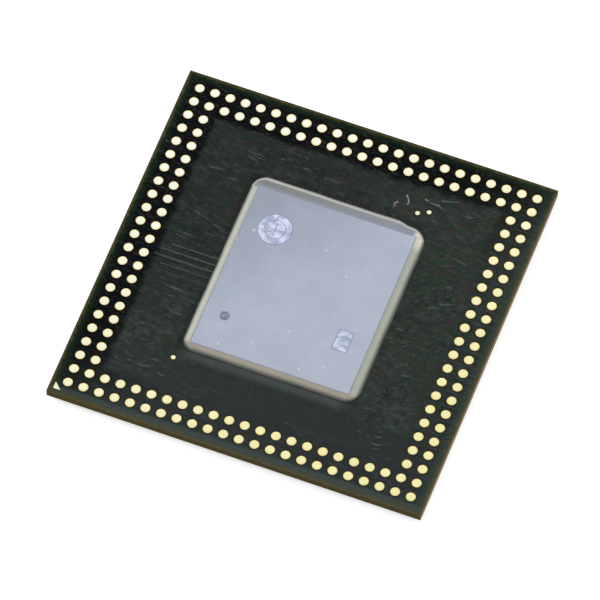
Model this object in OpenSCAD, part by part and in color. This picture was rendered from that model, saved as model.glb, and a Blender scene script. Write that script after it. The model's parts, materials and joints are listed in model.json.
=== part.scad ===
// Stackable ball grid array chip: a flip chip on a four-layer laminate board,
// with solder balls below and a double ring of gold lands above.
// The origin is the middle of the seating plane, at the tips of the balls. +Z is up.
// Ball A1 lies at the left front corner, under the gold triangle.

/* [Board] */
// Width of the board along X
body_w = 12; // [10:0.5:16]
// Depth of the board along Y
body_d = 12; // [10:0.5:16]
// Thickness of the glass-cloth core
core_t = 0.14; // [0.06:0.01:0.4]
// Thickness of the resin layer outside each inner copper plane
prepreg_t = 0.043; // [0.03:0.001:0.08]
// Thickness of every copper layer
copper_t = 0.012; // [0.008:0.001:0.02]
// Thickness of the solder mask over copper
mask_cover = 0.012; // [0.008:0.001:0.03]
// How far the inner copper planes stop short of the board's edge
plane_pullback = 0.15; // [0.1:0.05:0.4]

/* [Top lands] */
// Distance between two neighbouring lands
land_pitch = 0.5; // [0.45:0.01:0.8]
// Least distance from a land's centre to the board's edge
land_edge = 0.5; // [0.35:0.05:0.8]
// Diameter of the mask opening over a land
land_opening_d = 0.3; // [0.2:0.01:0.34]
// How far copper runs on under the mask, around every round opening
mask_overlap = 0.035; // [0.02:0.005:0.045]
// Thickness of the nickel and gold finish
finish_t = 0.005; // [0.002:0.001:0.007]
// Width of the plating stub from an outer land to the board's edge
stub_w = 0.06; // [0.03:0.01:0.12]
// Diameter of the opening over a probe pad
probe_d = 0.15; // [0.1:0.01:0.24]
// Length of the short sides of the corner mark
mark_leg = 0.24; // [0.15:0.01:0.3]
// Distance from the corner mark to the board's edges
mark_edge = 0.155; // [0.1:0.005:0.2]

/* [Solder balls] */
// Distance between two neighbouring balls
ball_pitch = 0.4; // [0.36:0.01:0.5]
// Least distance from a ball's centre to the board's edge
ball_edge = 0.6; // [0.4:0.05:1]
// Rows left empty between the outer band of balls and the inner block
empty_rows = 3; // [1:1:4]
// Diameter of a ball
ball_d = 0.25; // [0.2:0.01:0.28]
// Diameter of the mask opening that a ball wets
ball_opening_d = 0.23; // [0.16:0.01:0.24]

/* [Die] */
// Width of the die along X
die_w = 5.12; // [4:0.02:7]
// Depth of the die along Y
die_d = 5.84; // [4:0.02:7]
// Thickness of the die
die_t = 0.11; // [0.06:0.01:0.3]
// Height of the die's underside over the solder mask
die_gap = 0.07; // [0.04:0.005:0.1]
// Offset of the die's centre from the board's centre along X
die_x = 0.02; // [-0.2:0.01:0.2]
// Offset of the die's centre from the board's centre along Y
die_y = -0.08; // [-0.2:0.01:0.2]
// Outer diameter of the etched ring on the die, which points to ball A1
ring_d = 0.38; // [0.2:0.02:0.6]
// Width of the etched ring's groove
ring_w = 0.05; // [0.02:0.01:0.08]
// Depth of the etched ring's groove
ring_depth = 0.004; // [0.002:0.001:0.02]
// Distance from the ring's centre to the die's left side
ring_left = 0.66; // [0.4:0.01:2]
// Distance from the ring's centre to the die's front side
ring_front = 1.21; // [0.4:0.01:2]

/* [Bumps] */
// Distance between two neighbouring bumps
bump_pitch = 0.24; // [0.2:0.01:0.3]
// Diameter of a bump
bump_d = 0.1; // [0.06:0.01:0.11]
// Least distance from a bump's centre to the die's edge
bump_edge = 0.12; // [0.1:0.01:0.3]

/* [Underfill] */
// Width of the fillet at the left of the die
fillet_left = 0.25; // [0.15:0.01:0.4]
// Width of the fillet at the right of the die
fillet_right = 0.28; // [0.15:0.01:0.4]
// Width of the fillet in front of the die
fillet_front = 0.2; // [0.15:0.01:0.4]
// Width of the fillet behind the die, where the resin is dispensed
fillet_back = 0.46; // [0.3:0.01:0.7]
// How much narrower the back fillet is past the right end of the dispensed line
fillet_step = 0.09; // [0:0.01:0.15]
// Distance from the corner's rounding to the end of the dispensed line
fillet_step_from = 0.05; // [0.02:0.01:0.5]
// Length over which the back fillet narrows
fillet_step_run = 0.4; // [0.1:0.01:0.6]
// Rounding of the fillet's outer edge at the corners
fillet_corner = 0.45; // [0.2:0.01:0.5]
// Height of the fillet on the die's side, from the die's underside
fillet_climb = 0.1; // [0.02:0.01:0.11]
// Width of the resin film at the top of the fillet
fillet_lip = 0.01; // [0.005:0.001:0.03]
// Hollowness of the fillet's section: 1 is a straight slope and 2 a quarter circle
fillet_hollow = 1.3; // [1:0.1:2]

/* [Wiring] */
// Width of a trace
trace_w = 0.05; // [0.03:0.01:0.06]
// Straight stretch of a trace from the centre of its land
trace_lead = 0.24; // [0.2:0.02:0.4]
// Least straight stretch of a trace up to the centre of its bump
trace_tail = 0.3; // [0.2:0.02:0.4]
// Diameter of the copper pad at a via
via_pad_d = 0.16; // [0.12:0.01:0.18]
// Diameter of a laser-drilled via through one resin layer
microvia_d = 0.08; // [0.05:0.01:0.1]
// Diameter of a via through the core
core_via_d = 0.1; // [0.06:0.01:0.12]
// Gap in a plane around a via's pad
antipad_gap = 0.05; // [0.03:0.01:0.08]
// Distance between two vias under the die
pour_via_pitch = 0.8; // [0.5:0.1:1.6]

/* [Hidden] */
$fn = 32;
eps = 0.01;
outer_ball_rows = 4;
core_ball_rows = 3;
bump_rows = 3;
corner_steps = 10;
slope_steps = 8;
run_steps = 8;

// Heights of the layers, from the tips of the balls upwards.
ball_r = ball_d / 2;
neck_r = min(ball_opening_d / 2, ball_r);
standoff = ball_r + sqrt(ball_r * ball_r - neck_r * neck_r);
mask_t = copper_t + mask_cover;
z_bottom_mask = standoff;
z_bottom_copper = z_bottom_mask + mask_cover;
z_bottom_prepreg = z_bottom_mask + mask_t;
z_power_plane = z_bottom_prepreg + prepreg_t;
z_core = z_power_plane + copper_t;
z_ground_plane = z_core + core_t;
z_top_prepreg = z_ground_plane + copper_t;
z_top_copper = z_top_prepreg + prepreg_t;
z_finish = z_top_copper + copper_t;
z_top = z_top_copper + mask_t;
z_die = z_top + die_gap;

// Lands, and the vias that stand between the two rings of lands.
lands_x = floor((body_w - 2 * land_edge) / land_pitch + eps) + 1;
lands_y = floor((body_d - 2 * land_edge) / land_pitch + eps) + 1;
land_pad_d = land_opening_d + 2 * mask_overlap;
land_half = [lands_x - 1, lands_y - 1] / 2 * land_pitch;
probe_pad_d = probe_d + 2 * mask_overlap;

// Balls. The one at the inner block's corner next to A1 is left out, to key the array.
balls_x = floor((body_w - 2 * ball_edge) / ball_pitch + eps) + 1;
balls_y = floor((body_d - 2 * ball_edge) / ball_pitch + eps) + 1;
core_first = outer_ball_rows + empty_rows;
ball_pad_d = 2 * neck_r + 2 * mask_overlap;
key_corner = (core_first * [1, 1] - [balls_x - 1, balls_y - 1] / 2) * ball_pitch;

// Die, bumps and the copper area under the middle of the die.
die_c = [die_x, die_y];
die_half = [die_w, die_d] / 2;
ring_c = die_c - die_half + [ring_left, ring_front];
bumps_x = floor((die_w - 2 * bump_edge) / bump_pitch + eps) + 1;
bumps_y = floor((die_d - 2 * bump_edge) / bump_pitch + eps) + 1;
bump_pad_d = bump_d + 2 * mask_overlap;
bump_half = [bumps_x - 1, bumps_y - 1] / 2 * bump_pitch;
pour_half = bump_half - [1, 1] * (bump_pitch - bump_pad_d / 2);

// Two probe pads lie behind the die's right back corner, and one beside its left front corner.
probe_points = [
    die_c + die_half + [0.01, 1.05],
    die_c + die_half - [0.31, -0.9],
    die_c - die_half - [0.31, 0.58],
];

// Centres of one ring of an nx by ny array. Ring 0 is the outermost.
function ring(nx, ny, pitch, k) = [
    for (i = [k : nx - 1 - k], j = [k : ny - 1 - k])
        if (i == k || j == k || i == nx - 1 - k || j == ny - 1 - k)
            [i - (nx - 1) / 2, j - (ny - 1) / 2] * pitch
];

// Every other point of an array, as on the squares of a chessboard.
function alternate(points, pitch) = [
    for (p = points) if (floor((p.x + p.y) / pitch + eps) % 2 == 0) p
];

function lands(k) = ring(lands_x, lands_y, land_pitch, k);
function link_vias() = ring(lands_x - 1, lands_y - 1, land_pitch, 0);
function power_vias() = alternate(link_vias(), land_pitch);

function balls(k) = [
    for (p = ring(balls_x, balls_y, ball_pitch, k)) if (norm(p - key_corner) > eps) p
];
function all_balls() = [
    for (k = [0 : outer_ball_rows - 1]) each balls(k),
    for (k = [0 : core_ball_rows - 1]) each balls(core_first + k)
];
function ground_balls() = alternate(balls(core_first), ball_pitch);

// Signal bumps stand in the outermost row. Those inside it carry power and ground.
function bump_at(i, j) = die_c - bump_half + [i, j] * bump_pitch;
function signal_bumps() = [for (p = ring(bumps_x, bumps_y, bump_pitch, 0)) p + die_c];
function pour_bumps() = [
    for (k = [1 : bump_rows - 1], p = ring(bumps_x, bumps_y, bump_pitch, k)) p + die_c,
    for (i = [bump_rows + 1 : 2 : bumps_x - bump_rows - 2])
        for (j = [bump_rows + 1 : 2 : bumps_y - bump_rows - 2]) bump_at(i, j)
];
function all_bumps() = concat(signal_bumps(), pour_bumps());
function pour_vias() = [
    for (x = [pour_via_pitch / 2 : pour_via_pitch : pour_half.x - via_pad_d])
        for (y = [pour_via_pitch / 2 : pour_via_pitch : pour_half.y - via_pad_d])
            for (sx = [-1, 1], sy = [-1, 1]) die_c + [sx * x, sy * y]
];

function mix(a, b, t) = a + (b - a) * t;

// Escape traces run from the inner lands of each side to the middle bumps of that side.
// From land p to bump q, a trace runs straight inwards along u, crosses over at 45 degrees
// where there is room, and runs straight on.
function escape(p, q, u) =
    let (
        run = (q - p) * u,
        shift = q - p - run * u,
        cross = min(norm(shift), run - trace_lead - trace_tail)
    )
    norm(shift) < eps ? [p, q] : [p, p + trace_lead * u, p + (trace_lead + cross) * u + shift, q];
function escapes_y(side) = let (n = min(lands_x - 2, bumps_x)) [
    for (i = [0 : n - 1]) escape(
        [(i - (n - 1) / 2) * land_pitch, side * (land_half.y - land_pitch)],
        bump_at(i + floor((bumps_x - n) / 2), side > 0 ? bumps_y - 1 : 0),
        [0, -side])
];
function escapes_x(side) = let (n = min(lands_y - 4, bumps_y - 2)) [
    for (i = [0 : n - 1]) escape(
        [side * (land_half.x - land_pitch), (i - (n - 1) / 2) * land_pitch],
        bump_at(side > 0 ? bumps_x - 1 : 0, i + floor((bumps_y - n) / 2)),
        [-side, 0])
];

// A trace that would run into a probe pad is routed on another layer, so it is left out here.
function reach(p, a, b) = let (t = (p - a) * (b - a) / ((b - a) * (b - a)))
    norm(p - mix(a, b, max(0, min(1, t))));
function is_clear(path) = min([
    for (p = probe_points, i = [0 : len(path) - 2]) reach(p, path[i], path[i + 1])
]) > probe_pad_d / 2 + trace_w;
function escapes() = [
    for (path = concat(escapes_y(-1), escapes_y(1), escapes_x(-1), escapes_x(1)))
        if (is_clear(path)) path
];

// Outline of a trace of width w, with mitred bends.
function left_of(a, b) = [a.y - b.y, b.x - a.x] / norm(b - a);
function mitre(path, i) =
    let (
        last = len(path) - 1,
        n1 = left_of(path[max(i - 1, 0)], path[max(i, 1)]),
        n2 = left_of(path[min(i, last - 1)], path[min(i + 1, last)])
    )
    (n1 + n2) / (1 + n1 * n2);
function trace_outline(path, w) = [
    for (i = [0 : len(path) - 1]) path[i] - mitre(path, i) * w / 2,
    for (i = [len(path) - 1 : -1 : 0]) path[i] + mitre(path, i) * w / 2
];

// Outline of the underfill where its slope stands at share f of its full width.
function quarter(c, r, from) = [
    for (i = [0 : corner_steps])
        let (a = from + 90 * i / corner_steps) c + r * [cos(a), sin(a)]
];
function smooth(t) = t * t * (3 - 2 * t);
function fillet_outline(f) =
    let (
        left = fillet_lip + f * (fillet_left - fillet_lip),
        right = fillet_lip + f * (fillet_right - fillet_lip),
        front = fillet_lip + f * (fillet_front - fillet_lip),
        back = fillet_lip + f * (fillet_back - fillet_lip),
        narrow = back - f * fillet_step,
        r = fillet_lip + f * (fillet_corner - fillet_lip)
    )
    [
        each quarter(die_c + [die_half.x + right - r, r - front - die_half.y], r, 270),
        each quarter(die_c + die_half + [right - r, narrow - r], r, 0),
        for (i = [0 : run_steps])
            die_c + die_half + [
                right - r - fillet_step_from - fillet_step_run * i / run_steps,
                mix(narrow, back, smooth(i / run_steps))
            ],
        each quarter(die_c + [r - left - die_half.x, die_half.y + back - r], r, 90),
        each quarter(die_c - die_half + [r - left, r - front], r, 180)
    ];
function slope_share(t) = 1 - pow(1 - pow(1 - t, fillet_hollow), 1 / fillet_hollow);

module at(points, z) {
    for (p = points) translate([p.x, p.y, z]) children();
}

module slab(z, t, inset = 0) {
    translate([inset - body_w / 2, inset - body_d / 2, z])
        cube([body_w - 2 * inset, body_d - 2 * inset, t]);
}

module disc(d, t) {
    cylinder(d = d, h = t);
}

module trace(path, w) {
    polygon(trace_outline(path, w));
}

module mark_outline() {
    translate([mark_edge - body_w / 2, mark_edge - body_d / 2])
        polygon([[0, 0], [mark_leg, 0], [0, mark_leg]]);
}

// Straight stubs once fed the plating current from the panel's frame to the outer lands.
module plating_stubs() {
    for (p = lands(0)) {
        on_x = abs(p.x) > land_half.x - eps;
        edge = on_x ? [sign(p.x) * body_w / 2, p.y] : [p.x, sign(p.y) * body_d / 2];
        trace([p, edge], stub_w);
    }
}

// Each link joins an outer land to the via on its inner side.
module land_links() {
    for (p = link_vias()) trace([p, p + [sign(p.x), sign(p.y)] * land_pitch / 2], trace_w);
}

module top_copper_outline() {
    at(lands(0), 0) circle(d = land_pad_d);
    at(lands(1), 0) circle(d = land_pad_d);
    at(link_vias(), 0) circle(d = via_pad_d);
    at(signal_bumps(), 0) circle(d = bump_pad_d);
    at(probe_points, 0) circle(d = probe_pad_d);
    plating_stubs();
    land_links();
    for (path = escapes()) trace(path, trace_w);
    translate(die_c - pour_half) square(2 * pour_half);
    mark_outline();
}

module top_copper() {
    color("chocolate") translate([0, 0, z_top_copper]) linear_extrude(copper_t) top_copper_outline();
}

module top_solder_mask() {
    color("darkslategray") difference() {
        slab(z_top_copper, mask_t);
        top_copper();
        at(concat(lands(0), lands(1)), z_finish - eps) disc(land_opening_d, mask_t);
        at(probe_points, z_finish - eps) disc(probe_d, mask_t);
        at(all_bumps(), z_finish - eps) disc(bump_d, mask_t);
        translate([0, 0, z_finish - eps]) linear_extrude(mask_t) mark_outline();
    }
}

// A plane is a whole sheet of copper. Vias of the other net pass through it on islands.
module plane(z, isolated) {
    difference() {
        slab(z, copper_t, plane_pullback);
        at(isolated, z - eps) disc(via_pad_d + 2 * antipad_gap, copper_t + 2 * eps);
    }
    at(isolated, z) disc(via_pad_d, copper_t);
}

module ground_plane() {
    color("peru") plane(z_ground_plane, power_vias());
}

module power_plane() {
    color("peru") plane(z_power_plane, ground_balls());
}

// Each resin layer also fills the gaps in the plane that it is pressed onto.
module top_prepreg() {
    color("olive") difference() {
        slab(z_ground_plane, copper_t + prepreg_t);
        ground_plane();
        at(concat(link_vias(), pour_vias()), z_top_prepreg - eps) disc(microvia_d, prepreg_t + 2 * eps);
    }
}

module bottom_prepreg() {
    color("olive") difference() {
        slab(z_bottom_prepreg, prepreg_t + copper_t);
        power_plane();
        at(all_balls(), z_bottom_prepreg - eps) disc(microvia_d, prepreg_t + 2 * eps);
    }
}

module core_laminate() {
    color("darkkhaki") difference() {
        slab(z_core, core_t);
        at(concat(power_vias(), ground_balls()), z_core - eps) disc(core_via_d, core_t + 2 * eps);
    }
}

module core_vias() {
    color("chocolate") at(concat(power_vias(), ground_balls()), z_core) disc(core_via_d, core_t);
}

module top_microvias() {
    color("chocolate") at(concat(link_vias(), pour_vias()), z_top_prepreg) disc(microvia_d, prepreg_t);
}

module bottom_microvias() {
    color("chocolate") at(all_balls(), z_bottom_prepreg) disc(microvia_d, prepreg_t);
}

module bottom_copper() {
    color("chocolate") at(all_balls(), z_bottom_copper) disc(ball_pad_d, copper_t);
}

module bottom_solder_mask() {
    color("darkslategray") difference() {
        slab(z_bottom_mask, mask_t);
        at(all_balls(), z_bottom_mask - eps) disc(2 * neck_r, mask_t);
        at(all_balls(), z_bottom_copper) disc(ball_pad_d, mask_t);
    }
}

module outer_lands() {
    color("gold") at(lands(0), z_finish) disc(land_opening_d, finish_t);
}

module inner_lands() {
    color("gold") at(lands(1), z_finish) disc(land_opening_d, finish_t);
}

module probe_pads() {
    color("gold") at(probe_points, z_finish) disc(probe_d, finish_t);
}

module corner_mark() {
    color("gold") translate([0, 0, z_finish]) linear_extrude(finish_t) mark_outline();
}

module flip_chip_bumps() {
    color("silver") at(all_bumps(), z_finish) disc(bump_d, z_die - z_finish);
}

module silicon_die() {
    color("lightsteelblue") difference() {
        translate([die_c.x - die_half.x, die_c.y - die_half.y, z_die]) cube([die_w, die_d, die_t]);
        translate([ring_c.x, ring_c.y, z_die + die_t - ring_depth]) linear_extrude(ring_depth + eps)
            difference() {
                circle(d = ring_d);
                circle(d = ring_d - 2 * ring_w);
            }
    }
}

// Resin fills the gap under the die and rises around it in a hollow slope.
module fillet_body() {
    n = len(fillet_outline(1));
    climb = die_gap + fillet_climb;
    points = [
        for (j = [0 : slope_steps], p = fillet_outline(slope_share(j / slope_steps)))
            [p.x, p.y, z_top + climb * j / slope_steps]
    ];
    sides = [
        for (j = [0 : slope_steps - 1], i = [0 : n - 1])
            let (a = j * n + i, b = j * n + (i + 1) % n) each [[a, a + n, b], [b, a + n, b + n]]
    ];
    bottom = [for (i = [0 : n - 1]) i];
    top = [for (i = [n - 1 : -1 : 0]) slope_steps * n + i];
    polyhedron(points, concat(sides, [bottom, top]));
}

module underfill() {
    color("darkgray") difference() {
        fillet_body();
        translate([die_c.x - die_half.x, die_c.y - die_half.y, z_die])
            cube([die_w, die_d, fillet_climb + eps]);
        at(all_bumps(), z_top - eps) disc(bump_d, die_gap + 2 * eps);
    }
}

// A reflowed ball is a sphere with a neck of solder in the mask's opening.
module ball() {
    rotate_extrude() {
        intersection() {
            translate([0, ball_r]) circle(ball_r);
            square([ball_r, standoff]);
        }
        translate([0, standoff - eps]) square([neck_r, mask_cover + eps]);
    }
}

module ball_row(k) {
    color("silver") at(balls(k), 0) ball();
}

bottom_solder_mask();
bottom_copper();
bottom_microvias();
bottom_prepreg();
power_plane();
core_laminate();
core_vias();
ground_plane();
top_prepreg();
top_microvias();
top_copper();
top_solder_mask();
outer_lands();
inner_lands();
probe_pads();
corner_mark();
flip_chip_bumps();
silicon_die();
underfill();
ball_row(0);  // outer_balls_row_1
ball_row(1);  // outer_balls_row_2
ball_row(2);  // outer_balls_row_3
ball_row(3);  // outer_balls_row_4
ball_row(core_first);  // core_balls_row_1
ball_row(core_first + 1);  // core_balls_row_2
ball_row(core_first + 2);  // core_balls_row_3
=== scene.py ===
"""A stackable ball grid array chip, lying land side up on a white table.

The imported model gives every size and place. This script adds what its solids leave out: the
finish of each piece, the relief of the wiring under the solder mask, the collars round the mask's
openings, dished lands and smooth balls, the resin fillet, the etched marks, the wear, the lights
and the camera.
"""

from __future__ import annotations

import json
import logging
import math
import random
from dataclasses import dataclass, field
from enum import Enum
from typing import Iterable, Sequence

import bmesh
import bpy
from mathutils import Matrix, Vector

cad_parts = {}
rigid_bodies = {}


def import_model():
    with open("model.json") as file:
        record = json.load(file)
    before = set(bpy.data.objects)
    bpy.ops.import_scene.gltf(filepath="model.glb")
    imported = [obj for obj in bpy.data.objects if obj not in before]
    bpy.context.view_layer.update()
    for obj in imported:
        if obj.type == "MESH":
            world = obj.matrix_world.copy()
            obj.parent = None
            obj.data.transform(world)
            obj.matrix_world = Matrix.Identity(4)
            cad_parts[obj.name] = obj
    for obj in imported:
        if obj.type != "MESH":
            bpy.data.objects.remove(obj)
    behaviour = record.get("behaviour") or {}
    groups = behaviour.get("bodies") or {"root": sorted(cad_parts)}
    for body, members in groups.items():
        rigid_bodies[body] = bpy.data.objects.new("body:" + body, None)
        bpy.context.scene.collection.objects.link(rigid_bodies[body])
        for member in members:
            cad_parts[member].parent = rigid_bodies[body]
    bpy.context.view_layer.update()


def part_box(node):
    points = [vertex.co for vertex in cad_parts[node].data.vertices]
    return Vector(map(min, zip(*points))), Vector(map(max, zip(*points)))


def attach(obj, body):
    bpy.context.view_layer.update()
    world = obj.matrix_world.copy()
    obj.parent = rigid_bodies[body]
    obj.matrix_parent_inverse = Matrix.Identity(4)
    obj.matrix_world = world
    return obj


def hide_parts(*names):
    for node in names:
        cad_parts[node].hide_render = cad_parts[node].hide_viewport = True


LOG = logging.getLogger("chip")
MM = 0.001
LAND_REACH = "land_reach"
ROOT = "root"
GEOMETRY = "NodeSocketGeometry"
INTEGER = "NodeSocketInt"
VECTOR = "NodeSocketVector"
Point = tuple[float, float]
Span = tuple[float, float]
Spot = tuple[Point, float]


def srgb(red: int, green: int, blue: int) -> tuple[float, float, float, float]:
    """Returns the linear colour, with alpha, of an 8-bit screen colour."""

    def linear(level: int) -> float:
        """Returns one channel without the screen's gamma."""
        value = level / 255
        return value / 12.92 if value <= 0.04045 else ((value + 0.055) / 1.055) ** 2.4

    return (linear(red), linear(green), linear(blue), 1.0)


class Graph:
    """A node tree with short ways to add and join nodes."""

    def __init__(self, tree: bpy.types.NodeTree) -> None:
        """Wraps a tree.

        Args:
            tree: the shader or geometry tree that nodes are added to.
        """
        self.tree = tree

    def add(self, kind: str, inputs: dict | None = None, **settings: object) -> bpy.types.Node:
        """Adds a node.

        Args:
            kind: the node's type name.
            inputs: a value, or a socket to join, for each input by name or number.
            settings: plain settings of the node, such as its operation.

        Returns:
            The new node.
        """
        made = self.tree.nodes.new(kind)
        for name, value in settings.items():
            setattr(made, name, value)
        for name, value in (inputs or {}).items():
            self.feed(made.inputs[name], value)
        return made

    def feed(self, socket: bpy.types.NodeSocket, value: object) -> None:
        """Joins a socket to the one given, or gives it a plain value.

        Args:
            socket: the input to feed.
            value: another node's output, or a number, vector, colour or object.
        """
        if isinstance(value, bpy.types.NodeSocket):
            self.tree.links.new(value, socket)
        else:
            socket.default_value = value

    def math(self, operation: str, *values: object) -> bpy.types.NodeSocket:
        """Returns the result of a Math node on the given values."""
        kind = "ShaderNodeMath"
        return self.add(kind, dict(enumerate(values)), operation=operation).outputs[0]

    def ramp(self, value: object, low: object, high: object, to_low: object = 0.0,
             to_high: object = 1.0) -> bpy.types.NodeSocket:
        """Maps a value smoothly and clamps it.

        Args:
            value: the value to map.
            low: the value that gives to_low.
            high: the value that gives to_high.
            to_low: result at and below low.
            to_high: result at and above high.

        Returns:
            The mapped value's socket.
        """
        inputs = {0: value, 1: low, 2: high, 3: to_low, 4: to_high}
        made = self.add("ShaderNodeMapRange", inputs, interpolation_type="SMOOTHSTEP")
        return made.outputs[0]

    def mix(self, share: object, first: object, second: object) -> bpy.types.NodeSocket:
        """Returns a colour that goes from first to second with the share."""
        made = self.add("ShaderNodeMix", data_type="RGBA")
        self.feed(made.inputs[0], share)
        self.feed(made.inputs[6], first)
        self.feed(made.inputs[7], second)
        return made.outputs[2]

    def scale_colour(self, colour: object, factor: object) -> bpy.types.NodeSocket:
        """Returns a colour multiplied by a number."""
        plain = colour[:3] if isinstance(colour, tuple) else colour
        made = self.add("ShaderNodeVectorMath", {0: plain, "Scale": factor}, operation="SCALE")
        return made.outputs[0]


@dataclass(frozen=True)
class Port:
    """A named input or output of a node group."""

    name: str
    kind: str = "NodeSocketFloat"
    default: float | None = None
    is_output: bool = False


def new_group(name: str, tree_kind: str, ports: Iterable[Port]) -> tuple[Graph, dict, dict]:
    """Makes a node group with its ports.

    Args:
        name: the group's name.
        tree_kind: ShaderNodeTree or GeometryNodeTree.
        ports: the inputs and outputs.

    Returns:
        The graph, its input sockets by name, and its output sockets by name.
    """
    tree = bpy.data.node_groups.new(name, tree_kind)
    for port in ports:
        way = "OUTPUT" if port.is_output else "INPUT"
        socket = tree.interface.new_socket(port.name, in_out=way, socket_type=port.kind)
        if port.default is not None:
            socket.default_value = port.default
    graph = Graph(tree)
    entry = graph.add("NodeGroupInput")
    exit_ = graph.add("NodeGroupOutput")
    return graph, {s.name: s for s in entry.outputs}, {s.name: s for s in exit_.inputs}


class Effects:
    """Shader groups that several finishes share. Each is built once."""

    def __init__(self) -> None:
        """Builds the groups."""
        self.mottle = self._mottle()
        self.grain = self._grain()
        self.creases = self._creases()
        self.specks = self._specks()
        self.square = self._square()

    @staticmethod
    def _mottle() -> bpy.types.NodeTree:
        """Returns the group for soft patches of two sizes."""
        ports = [Port("Vector", VECTOR), Port("Size", default=1.0 * MM),
                 Port("Contrast", default=0.3), Port("Seed", default=0.0),
                 Port("Share", is_output=True)]
        graph, entry, out = new_group("soft_mottle", "ShaderNodeTree", ports)
        scale = graph.math("DIVIDE", 1.0, entry["Size"])
        broad = graph.add("ShaderNodeTexNoise", {"Vector": entry["Vector"], "W": entry["Seed"],
                                                 "Scale": scale, "Detail": 5.0, "Roughness": 0.6,
                                                 "Distortion": 0.4}, noise_dimensions="4D")
        low = graph.math("SUBTRACT", 0.5, entry["Contrast"])
        high = graph.math("ADD", 0.5, entry["Contrast"])
        graph.feed(out["Share"], graph.ramp(broad.outputs[0], low, high))
        return graph.tree

    @staticmethod
    def _drawn(graph: Graph, entry: dict) -> bpy.types.NodeSocket:
        """Returns a group's coordinate, turned by its Turn and drawn out by its Stretch."""
        turned = graph.add("ShaderNodeVectorRotate", {"Vector": entry["Vector"],
                                                      "Angle": entry["Turn"]},
                           rotation_type="Z_AXIS")
        squeeze = graph.add("ShaderNodeCombineXYZ", {
            0: graph.math("DIVIDE", 1.0, entry["Stretch"]), 1: 1.0, 2: 1.0})
        drawn = graph.add("ShaderNodeVectorMath", {0: turned.outputs[0], 1: squeeze.outputs[0]},
                          operation="MULTIPLY")
        return drawn.outputs[0]

    @staticmethod
    def _grain() -> bpy.types.NodeTree:
        """Returns the group for a fine grain, stretched along one direction if asked."""
        ports = [Port("Vector", VECTOR), Port("Size", default=0.05 * MM),
                 Port("Stretch", default=1.0), Port("Turn", default=0.0),
                 Port("Height", is_output=True)]
        graph, entry, out = new_group("fine_grain", "ShaderNodeTree", ports)
        drawn = Effects._drawn(graph, entry)
        scale = graph.math("DIVIDE", 1.0, entry["Size"])
        noise = graph.add("ShaderNodeTexNoise", {"Vector": drawn, "Scale": scale,
                                                 "Detail": 3.0, "Roughness": 0.55})
        graph.feed(out["Height"], noise.outputs[0])
        return graph.tree

    @staticmethod
    def _creases() -> bpy.types.NodeTree:
        """Returns the group for thin wandering lines."""
        ports = [Port("Vector", VECTOR), Port("Size", default=0.3 * MM),
                 Port("Stretch", default=1.0), Port("Turn", default=0.0),
                 Port("Width", default=0.03), Port("Seed", default=0.0),
                 Port("Line", is_output=True)]
        graph, entry, out = new_group("wandering_creases", "ShaderNodeTree", ports)
        drawn = Effects._drawn(graph, entry)
        noise = graph.add("ShaderNodeTexNoise", {
            "Vector": drawn, "W": entry["Seed"], "Detail": 2.5, "Distortion": 0.7,
            "Scale": graph.math("DIVIDE", 1.0, entry["Size"])}, noise_dimensions="4D")
        away = graph.math("ABSOLUTE", graph.math("SUBTRACT", noise.outputs[0], 0.5))
        line = graph.ramp(graph.math("DIVIDE", away, entry["Width"]), 0.0, 1.0, 1.0, 0.0)
        graph.feed(out["Line"], line)
        return graph.tree

    @staticmethod
    def _specks() -> bpy.types.NodeTree:
        """Returns the group for a few small round specks at scattered places."""
        ports = [Port("Vector", VECTOR), Port("Spacing", default=1.0 * MM),
                 Port("Diameter", default=0.06 * MM), Port("Mask", is_output=True)]
        graph, entry, out = new_group("scattered_specks", "ShaderNodeTree", ports)
        scale = graph.math("DIVIDE", 1.0, entry["Spacing"])
        cells = graph.add("ShaderNodeTexVoronoi", {"Vector": entry["Vector"], "Scale": scale,
                                                   "Randomness": 1.0}, voronoi_dimensions="2D")
        radius = graph.math("MULTIPLY", graph.math("MULTIPLY", entry["Diameter"], 0.5), scale)
        inner = graph.math("MULTIPLY", radius, 0.4)
        graph.feed(out["Mask"], graph.ramp(cells.outputs["Distance"], radius, inner))
        return graph.tree

    @staticmethod
    def _square() -> bpy.types.NodeTree:
        """Returns the group for the distance from the board's middle, as squares grow outwards."""
        ports = [Port("Vector", VECTOR), Port("Distance", is_output=True)]
        graph, entry, out = new_group("square_distance", "ShaderNodeTree", ports)
        parts = graph.add("ShaderNodeSeparateXYZ", {0: entry["Vector"]})
        across = graph.math("ABSOLUTE", parts.outputs[0])
        along = graph.math("ABSOLUTE", parts.outputs[1])
        graph.feed(out["Distance"], graph.math("MAXIMUM", across, along))
        return graph.tree


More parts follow.
